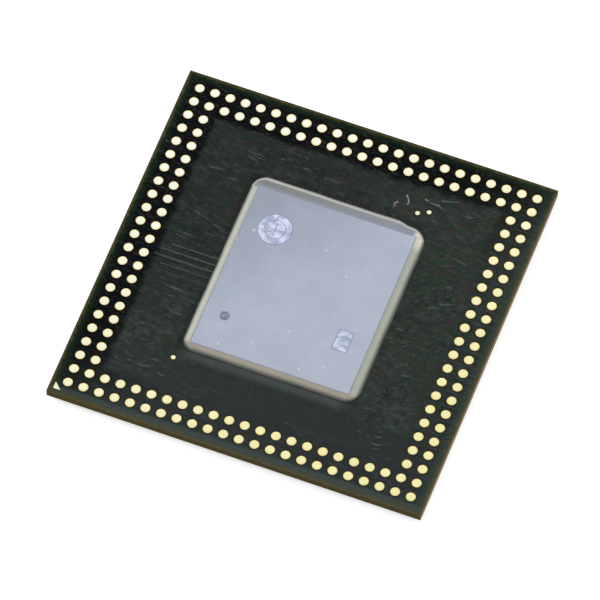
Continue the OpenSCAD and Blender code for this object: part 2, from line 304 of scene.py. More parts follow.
class Surface(Graph):
    """A material's graph, with its Principled shader and its object coordinates."""

    def __init__(self, name: str, effects: Effects) -> None:
        """Makes the material.

        Args:
            name: the material's name.
            effects: the shared shader groups.
        """
        self.material = bpy.data.materials.new(name)
        self.material.use_nodes = True
        self.material.node_tree.nodes.clear()
        super().__init__(self.material.node_tree)
        self.effects = effects
        self.place = self.add("ShaderNodeTexCoord").outputs["Object"]
        self.shader = self.add("ShaderNodeBsdfPrincipled")
        out = self.add("ShaderNodeOutputMaterial")
        self.tree.links.new(self.shader.outputs[0], out.inputs[0])

    def axes(self) -> tuple[bpy.types.NodeSocket, ...]:
        """Returns the object coordinate's X, Y and Z."""
        return tuple(self.add("ShaderNodeSeparateXYZ", {0: self.place}).outputs)

    def product(self, *values: object) -> bpy.types.NodeSocket:
        """Returns the product of two or more values."""
        made = values[0]
        for value in values[1:]:
            made = self.math("MULTIPLY", made, value)
        return made

    def use(self, group: bpy.types.NodeTree, **values: object) -> bpy.types.NodeSocket:
        """Places a shared group.

        Args:
            group: the group's tree.
            values: its inputs by name. Vector is the object coordinate unless given.

        Returns:
            The group's first output.
        """
        made = self.add("ShaderNodeGroup")
        made.node_tree = group
        self.feed(made.inputs["Vector"], values.pop("Vector", self.place))
        for name, value in values.items():
            self.feed(made.inputs[name], value)
        return made.outputs[0]

    def mottle(self, size: float, contrast: float = 0.3, seed: float = 0.0) -> bpy.types.NodeSocket:
        """Returns soft patches of about the given size."""
        return self.use(self.effects.mottle, Size=size, Contrast=contrast, Seed=seed)

    def grain(self, size: float, stretch: float = 1.0, turn: float = 0.0) -> bpy.types.NodeSocket:
        """Returns fine grain of about the given size."""
        return self.use(self.effects.grain, Size=size, Stretch=stretch, Turn=turn)

    def near(self, *spots: Spot) -> bpy.types.NodeSocket:
        """Returns a mask that is 1 at the middle of each spot and fades to 0 at its edge.

        Args:
            spots: each a middle and a radius, in millimetres.
        """
        flat = self.add("ShaderNodeVectorMath", {0: self.place, 1: (1.0, 1.0, 0.0)},
                        operation="MULTIPLY")
        found: object = 0.0
        for (x, y), radius in spots:
            away = self.add("ShaderNodeVectorMath", {0: flat.outputs[0], 1: (x * MM, y * MM, 0.0)},
                            operation="DISTANCE")
            mask = self.ramp(away.outputs["Value"], radius * 0.45 * MM, radius * MM, 1.0, 0.0)
            found = self.math("MAXIMUM", found, mask)
        return found

    def set(self, **values: object) -> None:
        """Feeds the Principled shader's inputs, written with _ for a space."""
        for name, value in values.items():
            self.feed(self.shader.inputs[name.replace("_", " ")], value)

    def relief(self, *layers: tuple[bpy.types.NodeSocket, float]) -> None:
        """Feeds the normal from one or more height patterns.

        Args:
            layers: a height pattern and the depth in metres between its low and high places.
        """
        normal = None
        for height, depth in layers:
            inputs = {"Strength": 1.0, "Distance": depth, "Height": height}
            if normal is not None:
                inputs["Normal"] = normal
            normal = self.add("ShaderNodeBump", inputs).outputs[0]
        self.feed(self.shader.inputs["Normal"], normal)


@dataclass(frozen=True)
class MaskFinish:
    """Dark solder mask: nearly black green under a thin gloss, with an uneven, creased relief."""

    name: str = "solder_mask"
    dark: tuple = srgb(2, 6, 7)
    pale: tuple = srgb(15, 33, 27)
    brown: tuple = srgb(38, 32, 29)
    green: tuple = srgb(2, 46, 24)
    # Grey of the painted highlights along streaks and creases; also the grey of the pale lumps and
    # of the pale band in front of the resin.
    pale_and_highlight: tuple = srgb(78, 88, 88)
    # Colour of the painted reflection towards the front.
    smooth: tuple = srgb(27, 35, 37)
    strip_dark: tuple = srgb(10, 30, 14)
    strip_pale: tuple = srgb(34, 50, 42)
    strip_front: tuple = srgb(49, 60, 56)
    rim: tuple = srgb(66, 63, 33)
    painted_shade_band: Span = (4.5 * MM, 4.78 * MM)
    band_wander: float = 0.08 * MM
    band_shade: Span = (-2.5 * MM, 3.0 * MM)
    strip: Span = (5.68 * MM, 5.86 * MM)
    front_strip: Span = (-5.8 * MM, -5.66 * MM)
    front_widening: Span = (-5.6 * MM, -5.4 * MM)
    front_extra: float = 0.09 * MM
    worn_rim: Span = (5.86 * MM, 5.97 * MM)
    rim_wander: float = 0.03 * MM
    wrinkles: tuple[Spot, ...] = (((3.6, -2.2), 1.5), ((-4.1, -3.2), 1.0), ((1.6, 3.9), 0.9))
    resin_left: float = -2.84 * MM
    resin_right: float = 2.84 * MM
    resin_front: float = -3.21 * MM
    resin_back: float = 3.31 * MM
    resin_steep: float = 4.0
    resin_shadow: Span = (0.02 * MM, 0.2 * MM)
    front_pale_band: Span = (-3.62 * MM, -3.32 * MM)
    front_band_half: Span = (2.2 * MM, 2.9 * MM)
    front_band_fade: Span = (0.0, 1.0 * MM)
    upper: Span = (0.25 * MM, 0.35 * MM)
    back_left_reach: float = 4.5 * MM
    painted_shade_share: float = 0.3
    gloss: float = 0.27
    dull_gloss: float = 0.21
    even_lumps: Span = (-4.2 * MM, -2.6 * MM)
    front_sheen_reach: Span = (-4.2 * MM, -3.2 * MM)
    even_relief: Span = (-4.4 * MM, -3.0 * MM)
    crease_highlight_share: float = 0.2
    crease_depth: float = 24.0e-6
    streak_depth: float = 6.0e-6
    ripple_depth: float = 18.0e-6
    wave_depth: float = 80.0e-6

    def _film(self, s: Surface, streaks: bpy.types.NodeSocket) -> bpy.types.NodeSocket:
        """Returns the mask's colour: patches, painted highlights along the streaks, and lumps that
        are rougher behind.
        """
        _, y, _ = s.axes()
        film = s.mix(s.mottle(0.3 * MM, 0.14, 3.0), self.pale, self.brown)
        film = s.mix(s.ramp(s.mottle(0.16 * MM, 0.14, 8.0), 0.4, 1.0, 0.0, 0.7), film, self.green)
        where = s.ramp(s.mottle(1.5 * MM, 0.1, 17.0), 0.0, 1.0, 0.04, 0.2)
        # Painted highlight along the streaks, in patches.
        film = s.mix(s.product(streaks, where), film, self.pale_and_highlight)
        lumps = s.mottle(0.24 * MM, 0.16, 31.0)
        rough = s.product(s.ramp(s.mottle(1.3 * MM, 0.14, 13.0), 0.0, 1.0, 0.35, 1.0),
                          s.ramp(y, *self.even_lumps, 0.4, 1.0))
        film = s.mix(s.product(s.ramp(lumps, 0.0, 0.5, 0.6, 0.0), rough), film, self.dark)
        return s.mix(s.product(s.ramp(lumps, 0.6, 1.0, 0.0, 0.13), rough), film, self.pale_and_highlight)

    def _by_resin(self, s: Surface, film: bpy.types.NodeSocket) -> bpy.types.NodeSocket:
        """Returns the colour with a lighter band in front of the resin and the resin's painted
        shadow, on the upper mask only.
        """
        x, y, z = s.axes()
        upper = s.ramp(z, *self.upper)
        across = s.product(s.ramp(s.math("ABSOLUTE", x), *self.front_band_half, 1.0, 0.0), upper)
        # A lighter band on the mask just in front of the resin.
        front_pale_band = s.product(s.ramp(y, *self.front_pale_band), across, s.ramp(y, *self.front_band_fade, 0.45, 0.0))
        film = s.mix(front_pale_band, film, self.pale_and_highlight)
        beside = s.math("SUBTRACT", self.resin_left, x)
        behind = s.math("SUBTRACT", y, self.resin_back)
        before = s.product(s.math("SUBTRACT", self.resin_front, y), self.resin_steep)
        beyond = s.product(s.math("SUBTRACT", x, self.resin_right), self.resin_steep)
        away = s.math("MAXIMUM", s.math("MAXIMUM", beside, behind),
                      s.math("MAXIMUM", before, beyond))
        return s.mix(s.product(s.ramp(away, *self.resin_shadow, 0.6, 0.0), upper), film, self.dark)

    def _creases(self, s: Surface, wrinkled: bpy.types.NodeSocket) -> bpy.types.NodeSocket:
        """Returns the crease lines: long ones in patches, curled ones where it has wrinkled."""
        long_ones = s.use(s.effects.creases, Size=0.45 * MM, Stretch=3.0, Turn=0.1, Width=0.05,
                          Seed=2.0)
        curled = s.use(s.effects.creases, Size=0.34 * MM, Stretch=1.3, Turn=0.6, Width=0.07,
                       Seed=9.0)
        broken = s.ramp(s.grain(0.2 * MM), 0.42, 0.6, 0.15, 1.0)
        sides = s.ramp(s.mottle(1.4 * MM, 0.12, 2.0), 0.3, 0.8)
        found = s.math("MAXIMUM", s.product(long_ones, sides), s.product(curled, wrinkled))
        return s.product(found, broken)

    def _edged(self, s: Surface, film: bpy.types.NodeSocket, shade: bpy.types.NodeSocket,
               painted_shade_band: bpy.types.NodeSocket) -> bpy.types.NodeSocket:
        """Adds the dark band of painted shade outside the lands, the thin strip and the worn rim.

        Args:
            s: the surface.
            film: the mask's colour inside them.
            shade: how far a place lies towards the shaded sides.
            painted_shade_band: the mask of the dark band of painted shade.

        Returns:
            The whole mask's colour.
        """
        _, y, _ = s.axes()
        distance = s.use(s.effects.square)
        strip = s.mix(shade, self.strip_pale, self.strip_dark)
        strip = s.mix(s.ramp(y, *self.front_strip, 1.0, 0.0), strip, self.strip_front)
        reach = s.ramp(y, *self.front_widening, self.front_extra, 0.0)
        colour = s.mix(s.ramp(s.math("ADD", distance, reach), *self.strip),
                       s.mix(painted_shade_band, film, self.dark), strip)
        ragged = s.ramp(s.mottle(0.2 * MM, 0.3, 21.0), 0.0, 1.0, -self.rim_wander,
                        self.rim_wander)
        return s.mix(s.ramp(s.math("ADD", distance, ragged), *self.worn_rim), colour, self.rim)

    def build(self, effects: Effects) -> bpy.types.Material:
        """Returns the material."""
        s = Surface(self.name, effects)
        x, y, _ = s.axes()
        wrinkled = s.near(*self.wrinkles)
        streaks = s.ramp(s.grain(0.07 * MM, 4.5, 0.08), 0.56, 0.72)
        creases = self._creases(s, wrinkled)
        toward_back_left = s.ramp(s.math("SUBTRACT", y, x), 0.0, self.back_left_reach)
        film = self._by_resin(s, self._film(s, streaks))
        # Painted shade: the mask darker towards the back-left.
        film = s.mix(s.product(toward_back_left, self.painted_shade_share), film, self.dark)
        # Painted reflection: the mask lighter and greyer towards the front.
        film = s.mix(s.ramp(y, *self.front_sheen_reach, 0.6, 0.0), film, self.smooth)
        # Painted highlight along the creases.
        film = s.mix(s.product(creases, self.crease_highlight_share), film, self.pale_and_highlight)
        wander = s.ramp(s.mottle(0.5 * MM, 0.3, 11.0), 0.0, 1.0, -self.band_wander,
                        self.band_wander)
        # Painted shade: a dark band round the outer lands, darkest towards the back-left.
        inside = s.ramp(s.math("ADD", s.use(effects.square), wander), *self.painted_shade_band)
        shade = s.ramp(s.math("SUBTRACT", x, y), *self.band_shade, 1.0, 0.12)
        painted_shade_band = s.product(inside, shade)
        gloss = s.ramp(toward_back_left, 0.0, 1.0, self.gloss, self.dull_gloss)
        s.set(Base_Color=self._edged(s, film, shade, painted_shade_band), Specular_IOR_Level=0.05,
              Roughness=0.2, Coat_Weight=s.product(gloss, s.ramp(painted_shade_band, 0.0, 1.0, 1.0, 0.0)),
              Coat_Roughness=0.28)
        calm = s.math("MAXIMUM", s.ramp(y, *self.even_relief, 0.3, 1.0), wrinkled)
        waves = s.product(s.grain(0.34 * MM, 2.6, 0.5), calm)
        ripples = s.product(s.grain(0.13 * MM, 3.0, 0.1), calm)
        s.relief((creases, self.crease_depth), (streaks, self.streak_depth),
                 (ripples, self.ripple_depth), (waves, self.wave_depth))
        return s.material


@dataclass(frozen=True)
class GoldFinish:
    """Thin pale gold over nickel, softly dimpled, with a painted highlight that makes it whiter
    towards the back-left.
    """

    name: str = "land_gold"
    highlight_pale: tuple = srgb(222, 225, 211)
    deep: tuple = srgb(222, 218, 163)
    rim: tuple = srgb(224, 198, 128)
    lean: Span = (-9.0 * MM, 9.0 * MM)
    rim_reach: Span = (0.71, 0.89)
    rim_share: float = 0.8

    def build(self, effects: Effects) -> bpy.types.Material:
        """Returns the material."""
        s = Surface(self.name, effects)
        x, y, _ = s.axes()
        # Painted highlight: whiter towards the back-left, yellower towards the front-right.
        colour = s.mix(s.ramp(s.math("SUBTRACT", x, y), *self.lean), self.highlight_pale, self.deep)
        reach = s.add("ShaderNodeAttribute", attribute_name=LAND_REACH)
        colour = s.mix(s.ramp(reach.outputs["Fac"], *self.rim_reach, 0.0, self.rim_share), colour,
                       self.rim)
        s.set(Base_Color=s.mix(s.mottle(0.2 * MM, 0.35, 1.0), colour, s.scale_colour(colour, 0.95)),
              Metallic=1.0, Roughness=s.ramp(s.grain(0.05 * MM), 0.3, 0.7, 0.32, 0.44))
        s.relief((s.grain(0.03 * MM), 0.5e-6))
        return s.material


@dataclass(frozen=True)
class SiliconFinish:
    """Ground back of a silicon die: blue grey, with fine grinding lines and faint clouds."""

    name: str = "ground_silicon"
    pale: tuple = srgb(164, 171, 186)
    deep: tuple = srgb(153, 160, 175)
    speck: tuple = srgb(206, 190, 196)
    shaded: Span = (-5.5 * MM, 1.0 * MM)
    shade_share: float = 0.74
    speck_share: float = 0.55

    def build(self, effects: Effects) -> bpy.types.Material:
        """Returns the material."""
        s = Surface(self.name, effects)
        colour = s.mix(s.mottle(1.0 * MM, 0.4, 2.0), self.pale, self.deep)
        colour = s.mix(s.ramp(s.mottle(0.09 * MM, 0.3, 9.0), 0.0, 1.0, 0.0, 0.5), colour,
                       s.scale_colour(colour, 0.9))
        x, y, _ = s.axes()
        colour = s.mix(s.ramp(s.math("SUBTRACT", x, y), *self.shaded, 1.0, 0.0), colour,
                       s.scale_colour(colour, self.shade_share))
        lines = s.grain(0.03 * MM, 14.0, 0.6)
        specks = s.use(effects.specks, Spacing=1.25 * MM, Diameter=0.12 * MM)
        shown = s.ramp(s.mottle(1.5 * MM, 0.1, 4.0), 0.4, 0.6)
        colour = s.mix(s.product(specks, shown, self.speck_share), colour, self.speck)
        s.set(Base_Color=colour, Metallic=0.85,
              Roughness=s.ramp(s.mottle(0.5 * MM, 0.35, 6.0), 0.0, 1.0, 0.42, 0.5))
        s.relief((lines, 0.8e-6), (s.grain(0.025 * MM), 0.8e-6))
        return s.material


@dataclass(frozen=True)
class ResinFinish:
    """Cured underfill: pale olive grey, and thin at its foot, where the dark mask shows, with light
    and shade painted on its slopes.
    """

    name: str = "underfill_resin"
    full_left: tuple = srgb(186, 189, 175)
    full_right: tuple = srgb(174, 180, 164)
    front_warm_shade: tuple = srgb(170, 165, 150)
    thin: tuple = srgb(62, 64, 60)
    shade_left: tuple = srgb(116, 120, 116)
    shade_right: tuple = srgb(134, 139, 147)
    die_reflection: tuple = srgb(136, 142, 156)
    highlight_pale: tuple = srgb(222, 220, 202)
    rim: tuple = srgb(174, 173, 167)
    foot: float = 0.472 * MM
    climb_left: float = 0.05 * MM
    climb_right: float = 0.064 * MM
    climb_front: float = 0.09 * MM
    rim_from: float = 0.008 * MM
    rim_low: float = 0.017 * MM
    rim_high: float = 0.036 * MM
    back: float = 2.84 * MM
    front: float = -3.0 * MM
    corner_x: Span = (2.4 * MM, 2.56 * MM)
    corner_y: Span = (2.3 * MM, 2.75 * MM)

    def build(self, effects: Effects) -> bpy.types.Material:
        """Returns the material."""
        s = Surface(self.name, effects)
        x, y, z = s.axes()
        rise = s.math("SUBTRACT", z, self.foot)
        across = s.ramp(x, -2.6 * MM, 2.6 * MM)
        at_front = s.ramp(y, self.front, self.front + 0.2 * MM, 1.0, 0.0)
        # Painted light: the fillet lighter on the left than on the right; the front browner, its
        # own tone, and darker, a painted shade, lightening up the slope as a painted highlight.
        lit = s.scale_colour(self.front_warm_shade, s.ramp(rise, 0.06 * MM, 0.16 * MM, 1.0, 1.2))
        body = s.mix(at_front, s.mix(across, self.full_left, self.full_right), lit)
        climb = s.ramp(across, 0.0, 1.0, self.climb_left, self.climb_right)
        climb = s.math("MAXIMUM", climb, s.product(at_front, self.climb_front))
        body = s.mix(s.ramp(s.math("DIVIDE", rise, climb), 0.0, 1.0), self.thin, body)
        # Back slope: painted shade, greyer on the left and bluer on the right, turning near the die
        # into a painted reflection of the die's blue grey.
        slope = s.mix(across, self.shade_left, self.shade_right)
        slope = s.mix(s.ramp(y, self.back, self.back + 0.2 * MM), self.die_reflection, slope)
        # Painted highlight: a pale line along the foot of the back slope.
        slope = s.mix(s.ramp(rise, self.rim_high - 0.006 * MM, self.rim_high), self.rim, slope)
        at_corner = s.product(s.ramp(x, *self.corner_x), s.ramp(y, *self.corner_y))
        back = s.mix(s.ramp(rise, self.rim_from, self.rim_low), self.thin, slope)
        colour = s.mix(s.ramp(y, self.back - 0.04 * MM, self.back), body, back)
        lip = s.ramp(rise, self.rim_low, 0.06 * MM)
        # Painted highlight: a bright lip at the back-right corner of the die.
        colour = s.mix(s.product(at_corner, lip), colour, self.highlight_pale)
        colour = s.mix(s.mottle(0.4 * MM, 0.3), colour, s.scale_colour(colour, 0.92))
        grain = s.grain(0.03 * MM)
        s.set(Base_Color=colour, Specular_IOR_Level=0.35,
              Roughness=s.ramp(grain, 0.3, 0.7, 0.36, 0.5))
        s.relief((grain, 1.0e-6), (s.grain(0.2 * MM), 4.0e-6))
        return s.material


@dataclass(frozen=True)
class PlainFinish:
    """A finish of one colour with patches, grain and a little relief."""

    name: str
    light: tuple
    shade: tuple
    patch: float
    grain: float
    depth: float
    rough: tuple[float, float] = (0.4, 0.6)
    metallic: float = 0.0
    specular: float = 0.5
    stretch: float = 1.0
    contrast: float = 0.3

    def build(self, effects: Effects) -> bpy.types.Material:
        """Returns the material."""
        s = Surface(self.name, effects)
        colour = s.mix(s.mottle(self.patch, self.contrast), self.light, self.shade)
        grain = s.grain(self.grain, self.stretch)
        colour = s.mix(s.ramp(grain, 0.35, 0.7, 0.0, 0.3), colour, s.scale_colour(colour, 0.8))
        s.set(Base_Color=colour, Metallic=self.metallic, Specular_IOR_Level=self.specular,
              Roughness=s.ramp(grain, 0.3, 0.7, *self.rough))
        s.relief((grain, self.depth))
        return s.material


@dataclass(frozen=True)
class LaminateFinish:
    """Sawn edge of a glass-cloth laminate: brown resin with pale ends and runs of yarn."""

    name: str
    resin: tuple
    yarn: tuple
    lit: tuple
    pitch: float = 0.42 * MM
    ply: float = 0.09 * MM
    lit_side: Span = (5.95 * MM, 5.99 * MM)

    def build(self, effects: Effects) -> bpy.types.Material:
        """Returns the material."""
        s = Surface(self.name, effects)
        x, y, z = s.axes()
        wave = s.math("SINE", s.product(s.math("ADD", x, y), 2 * math.pi / self.pitch))
        height = s.product(z, 2 * math.pi / self.ply)
        weave = s.math("SINE", s.math("ADD", height, s.product(wave, 1.1)))
        colour = s.mix(s.ramp(weave, 0.1, 0.9, 0.0, 0.7), self.resin, self.yarn)
        streaks = s.grain(0.02 * MM, 6.0)
        colour = s.mix(s.ramp(streaks, 0.4, 0.7, 0.0, 0.5), colour, s.scale_colour(self.resin, 0.6))
        colour = s.mix(s.ramp(x, *self.lit_side, 0.0, 0.8), colour, self.lit)
        s.set(Base_Color=colour, Roughness=0.8, Specular_IOR_Level=0.03)
        s.relief((streaks, 2.0e-6), (s.grain(0.06 * MM), 2.0e-6))
        return s.material


class Finishes:
    """Every material of the chip, built once."""

    def __init__(self) -> None:
        """Builds the materials."""
        effects = Effects()
        self.mask = MaskFinish().build(effects)
        self.gold = GoldFinish().build(effects)
        self.silicon = SiliconFinish().build(effects)
        self.laminate = LaminateFinish("laminate_edge", srgb(76, 64, 38), srgb(100, 86, 56),
                                       srgb(146, 123, 88)).build(effects)
        self.etched = PlainFinish("etched_silicon", srgb(150, 161, 186), srgb(122, 134, 158),
                                  0.12 * MM, 0.02 * MM, 1.5e-6, (0.5, 0.7), 0.6).build(effects)
        self.pitted = PlainFinish("pitted_silicon", srgb(140, 150, 160), srgb(84, 94, 104),
                                  0.1 * MM, 0.02 * MM, 1.5e-6, (0.5, 0.7), 0.5,
                                  contrast=0.12).build(effects)
        self.frosted = PlainFinish("frosted_silicon", srgb(202, 206, 224), srgb(150, 160, 184),
                                   0.24 * MM, 0.03 * MM, 1.5e-6, (0.5, 0.7), 0.7,
                                   contrast=0.14).build(effects)
        self.resin = ResinFinish().build(effects)
        self.sawn = PlainFinish("sawn_silicon", srgb(136, 145, 162), srgb(112, 121, 140),
                                0.2 * MM, 0.02 * MM, 1.5e-6, (0.4, 0.6), 0.6).build(effects)
        self.prepreg = LaminateFinish("prepreg_edge", srgb(70, 60, 34), srgb(84, 74, 48),
                                      srgb(134, 112, 78)).build(effects)
        self.copper = PlainFinish("bare_copper", srgb(206, 132, 96), srgb(176, 106, 76),
                                  0.2 * MM, 0.03 * MM, 1.0e-6, (0.3, 0.5), 1.0).build(effects)
        self.solder = PlainFinish("reflowed_solder", srgb(208, 209, 210), srgb(184, 186, 190),
                                  0.1 * MM, 0.02 * MM, 1.2e-6, (0.22, 0.36), 1.0).build(effects)
        self.scuff = PlainFinish("scuffed_mask", srgb(150, 136, 138), srgb(96, 88, 90),
                                 0.1 * MM, 0.02 * MM, 1.0e-6, (0.6, 0.8)).build(effects)


def dress(node: str, material: bpy.types.Material) -> None:
    """Gives a solid of the frame its material.

    Args:
        node: the solid's name.
        material: the finish for the whole solid.
    """
    slots = bpy.data.objects[node].data.materials
    slots.clear()
    slots.append(material)


def solid_centres(node: str) -> list[Vector]:
    """Returns the middle of each separate solid in a node, sorted by place."""
    work = bmesh.new()
    work.from_mesh(bpy.data.objects[node].data)
    bmesh.ops.remove_doubles(work, verts=work.verts, dist=1e-7)
    left = set(work.verts)
    middles = []
    while left:
        queue = [left.pop()]
        low = queue[0].co.copy()
        high = queue[0].co.copy()
        while queue:
            vert = queue.pop()
            for axis in range(3):
                low[axis] = min(low[axis], vert.co[axis])
                high[axis] = max(high[axis], vert.co[axis])
            for edge in vert.link_edges:
                other = edge.other_vert(vert)
                if other in left:
                    left.remove(other)
                    queue.append(other)
        middles.append((low + high) / 2)
    work.free()
    return sorted(middles, key=lambda p: (round(p.x, 6), round(p.y, 6)))


def linked(name: str, data: bpy.types.ID) -> bpy.types.Object:
    """Returns a new object of the given data, linked to the scene."""
    made = bpy.data.objects.new(name, data)
    bpy.context.scene.collection.objects.link(made)
    return made


def new_piece(name: str, mesh: bpy.types.Mesh, material: bpy.types.Material | None,
              smooth: bool | None = True) -> bpy.types.Object:
    """Makes an object from a mesh and lets it ride on the chip.

    Args:
        name: the piece's name.
        mesh: the finished mesh, in the chip's frame.
        material: its finish, or None where the mesh has its own.
        smooth: whether its faces shade smoothly, or None to leave them as they are.

    Returns:
        The object.
    """
    piece = linked(name, mesh)
    if material is not None:
        mesh.materials.clear()
        mesh.materials.append(material)
    if smooth is not None:
        mesh.polygons.foreach_set("use_smooth", [smooth] * len(mesh.polygons))
    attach(piece, ROOT)
    return piece


def grow(name: str, seeds: bpy.types.Mesh, graph: Graph, values: dict) -> bpy.types.Object:
    """Runs a Geometry Nodes tree on a seed mesh and keeps the result as a plain mesh.

    Args:
        name: the piece's name.
        seeds: points or edges that the tree works on.
        graph: the tree.
        values: the tree's named inputs.

    Returns:
        The finished piece, riding on the chip.
    """
    source = linked(name + "_seeds", seeds)
    modifier = source.modifiers.new("grow", "NODES")
    modifier.node_group = graph.tree
    names = {s.name: s.identifier for s in graph.tree.interface.items_tree if s.in_out == "INPUT"}
    for key, value in values.items():
        modifier[names[key]] = value
    bpy.context.view_layer.update()
    evaluated = source.evaluated_get(bpy.context.evaluated_depsgraph_get())
    mesh = bpy.data.meshes.new_from_object(evaluated)
    mesh.name = name
    source.modifiers.remove(modifier)
    bpy.data.objects.remove(source)
    return new_piece(name, mesh, None, smooth=None)


def point_mesh(name: str, points: Sequence[Vector]) -> bpy.types.Mesh:
    """Returns a mesh of loose points."""
    mesh = bpy.data.meshes.new(name)
    mesh.from_pydata([tuple(p) for p in points], [], [])
    return mesh


def path_mesh(name: str, lines: Iterable[Sequence[Vector]],
              closed: Sequence[bool] = ()) -> bpy.types.Mesh:
    """Returns a mesh of lines for a tree to follow.

    Args:
        name: the mesh's name.
        lines: the points of each line.
        closed: whether each line's end is joined to its start. Empty where all are open.

    Returns:
        The mesh, of edges only.
    """
    points: list[Vector] = []
    edges: list[tuple[int, int]] = []
    for k, line in enumerate(lines):
        base = len(points)
        points += line
        edges += [(base + i, base + i + 1) for i in range(len(line) - 1)]
        if closed and closed[k]:
            edges.append((base + len(line) - 1, base))
    mesh = bpy.data.meshes.new(name)
    mesh.from_pydata([tuple(p) for p in points], edges, [])
    return mesh


class Growth:
    """Geometry Nodes trees for what repeats on the chip."""

    def __init__(self) -> None:
        """Builds the trees."""
        self.lands = self._lands()
        self.balls = self._balls()
        self.collars = self._collars()
        self.ridges = self._ridges()

    @staticmethod
    def _start(name: str, ports: Sequence[Port]) -> tuple[Graph, dict, dict]:
        """Returns a geometry group with a seed mesh in, a finish and the named inputs."""
        every = [Port("Geometry", GEOMETRY), Port("Finish", "NodeSocketMaterial"), *ports,
                 Port("Geometry", GEOMETRY, is_output=True)]
        return new_group(name, "GeometryNodeTree", every)

    @staticmethod
    def _end(graph: Graph, entry: dict, out: dict, shape: object, smooth: object = True) -> Graph:
        """Realizes a tree's result, gives it its finish and joins it to the output."""
        real = graph.add("GeometryNodeRealizeInstances", {0: shape})
        shaded = graph.add("GeometryNodeSetShadeSmooth", {0: real.outputs[0]})
        graph.feed(shaded.inputs["Shade Smooth"], smooth)
        dressed = graph.add("GeometryNodeSetMaterial", {0: shaded.outputs[0]})
        graph.feed(dressed.inputs["Material"], entry["Finish"])
        graph.feed(out["Geometry"], dressed.outputs[0])
        return graph

    @staticmethod
    def _place(graph: Graph, entry: dict, shape: object, tilt: object) -> bpy.types.NodeSocket:
        """Sets a shape on every point, each turned and tilted a little its own way."""
        low = graph.add("ShaderNodeCombineXYZ", {0: graph.math("MULTIPLY", tilt, -1.0),
                                                 1: graph.math("MULTIPLY", tilt, -1.0), 2: 0.0})
        high = graph.add("ShaderNodeCombineXYZ", {0: tilt, 1: tilt, 2: 2 * math.pi})
        spread = graph.add("FunctionNodeRandomValue", data_type="FLOAT_VECTOR")
        graph.feed(spread.inputs[0], low.outputs[0])
        graph.feed(spread.inputs[1], high.outputs[0])
        graph.feed(spread.inputs["Seed"], entry["Seed"])
        put = graph.add("GeometryNodeInstanceOnPoints", {"Points": entry["Geometry"],
                                                         "Instance": shape})
        graph.feed(put.inputs["Rotation"], spread.outputs[0])
        return put.outputs[0]

    def _lands(self) -> Graph:
        """Returns the tree for round lands: thin discs with a rounded rim and a shallow dish.

        Returns:
            The tree. It notes how far out each point lies, which the finish reads.
        """
        graph, entry, out = self._start("round_lands", [
            Port("Diameter"), Port("Thickness"), Port("Dish"), Port("Tilt"),
            Port("Sides", INTEGER, 18), Port("Seed", INTEGER, 1)])
        radius = graph.math("MULTIPLY", entry["Diameter"], 0.5)
        disc = graph.add("GeometryNodeMeshCylinder", {"Vertices": entry["Sides"], "Radius": radius,
                                                      "Depth": entry["Thickness"]})
        graph.feed(disc.inputs["Fill Segments"], 3)
        place = graph.add("GeometryNodeInputPosition")
        parts = graph.add("ShaderNodeSeparateXYZ", {0: place.outputs[0]})
        flat = graph.add("ShaderNodeCombineXYZ", {0: parts.outputs[0], 1: parts.outputs[1], 2: 0.0})
        reach = graph.add("ShaderNodeVectorMath", {0: flat.outputs[0]}, operation="LENGTH")
        share = graph.math("DIVIDE", reach.outputs["Value"], radius)
        rise = graph.math("MULTIPLY", graph.math("POWER", share, 2.0), entry["Dish"])
        rim = graph.ramp(share, 0.8, 1.0)
        drop = graph.math("MULTIPLY", rim, graph.math("MULTIPLY", entry["Dish"], 1.6))
        top = graph.math("GREATER_THAN", parts.outputs[2], 0.0)
        lift = graph.math("MULTIPLY", graph.math("SUBTRACT", rise, drop), top)
        offset = graph.add("ShaderNodeCombineXYZ", {0: 0.0, 1: 0.0, 2: lift})
        shaped = graph.add("GeometryNodeSetPosition", {0: disc.outputs[0]})
        graph.feed(shaped.inputs["Offset"], offset.outputs[0])
        noted = graph.add("GeometryNodeStoreNamedAttribute", {
            "Geometry": shaped.outputs[0], "Name": LAND_REACH, "Value": share})
        return self._end(graph, entry, out, self._place(graph, entry, noted.outputs[0],
                                                        entry["Tilt"]))

    def _balls(self) -> Graph:
        """Returns the tree for reflowed balls: spheres flattened where they meet the mask."""
        graph, entry, out = self._start("solder_balls", [
            Port("Diameter"), Port("Height"), Port("Segments", INTEGER, 12),
            Port("Rings", INTEGER, 8), Port("Seed", INTEGER, 1)])
        radius = graph.math("MULTIPLY", entry["Diameter"], 0.5)
        ball = graph.add("GeometryNodeMeshUVSphere", {"Segments": entry["Segments"],
                                                      "Rings": entry["Rings"], "Radius": radius})
        place = graph.add("GeometryNodeInputPosition")
        parts = graph.add("ShaderNodeSeparateXYZ", {0: place.outputs[0]})
        ceiling = graph.math("SUBTRACT", entry["Height"], radius)
        low = graph.math("MINIMUM", parts.outputs[2], ceiling)
        settled = graph.add("ShaderNodeCombineXYZ", {0: parts.outputs[0], 1: parts.outputs[1],
                                                     2: graph.math("ADD", low, radius)})
        shaped = graph.add("GeometryNodeSetPosition", {0: ball.outputs[0]})
        graph.feed(shaped.inputs["Position"], settled.outputs[0])
        put = graph.add("GeometryNodeInstanceOnPoints", {"Points": entry["Geometry"],
                                                         "Instance": shaped.outputs[0]})
        turn = graph.add("FunctionNodeRandomValue", data_type="FLOAT_VECTOR")
        graph.feed(turn.inputs[0], (0.0, 0.0, 0.0))
        graph.feed(turn.inputs[1], (0.0, 0.0, 2 * math.pi))
        graph.feed(turn.inputs["Seed"], entry["Seed"])
        graph.feed(put.inputs["Rotation"], turn.outputs[0])
        return self._end(graph, entry, out, put.outputs[0])

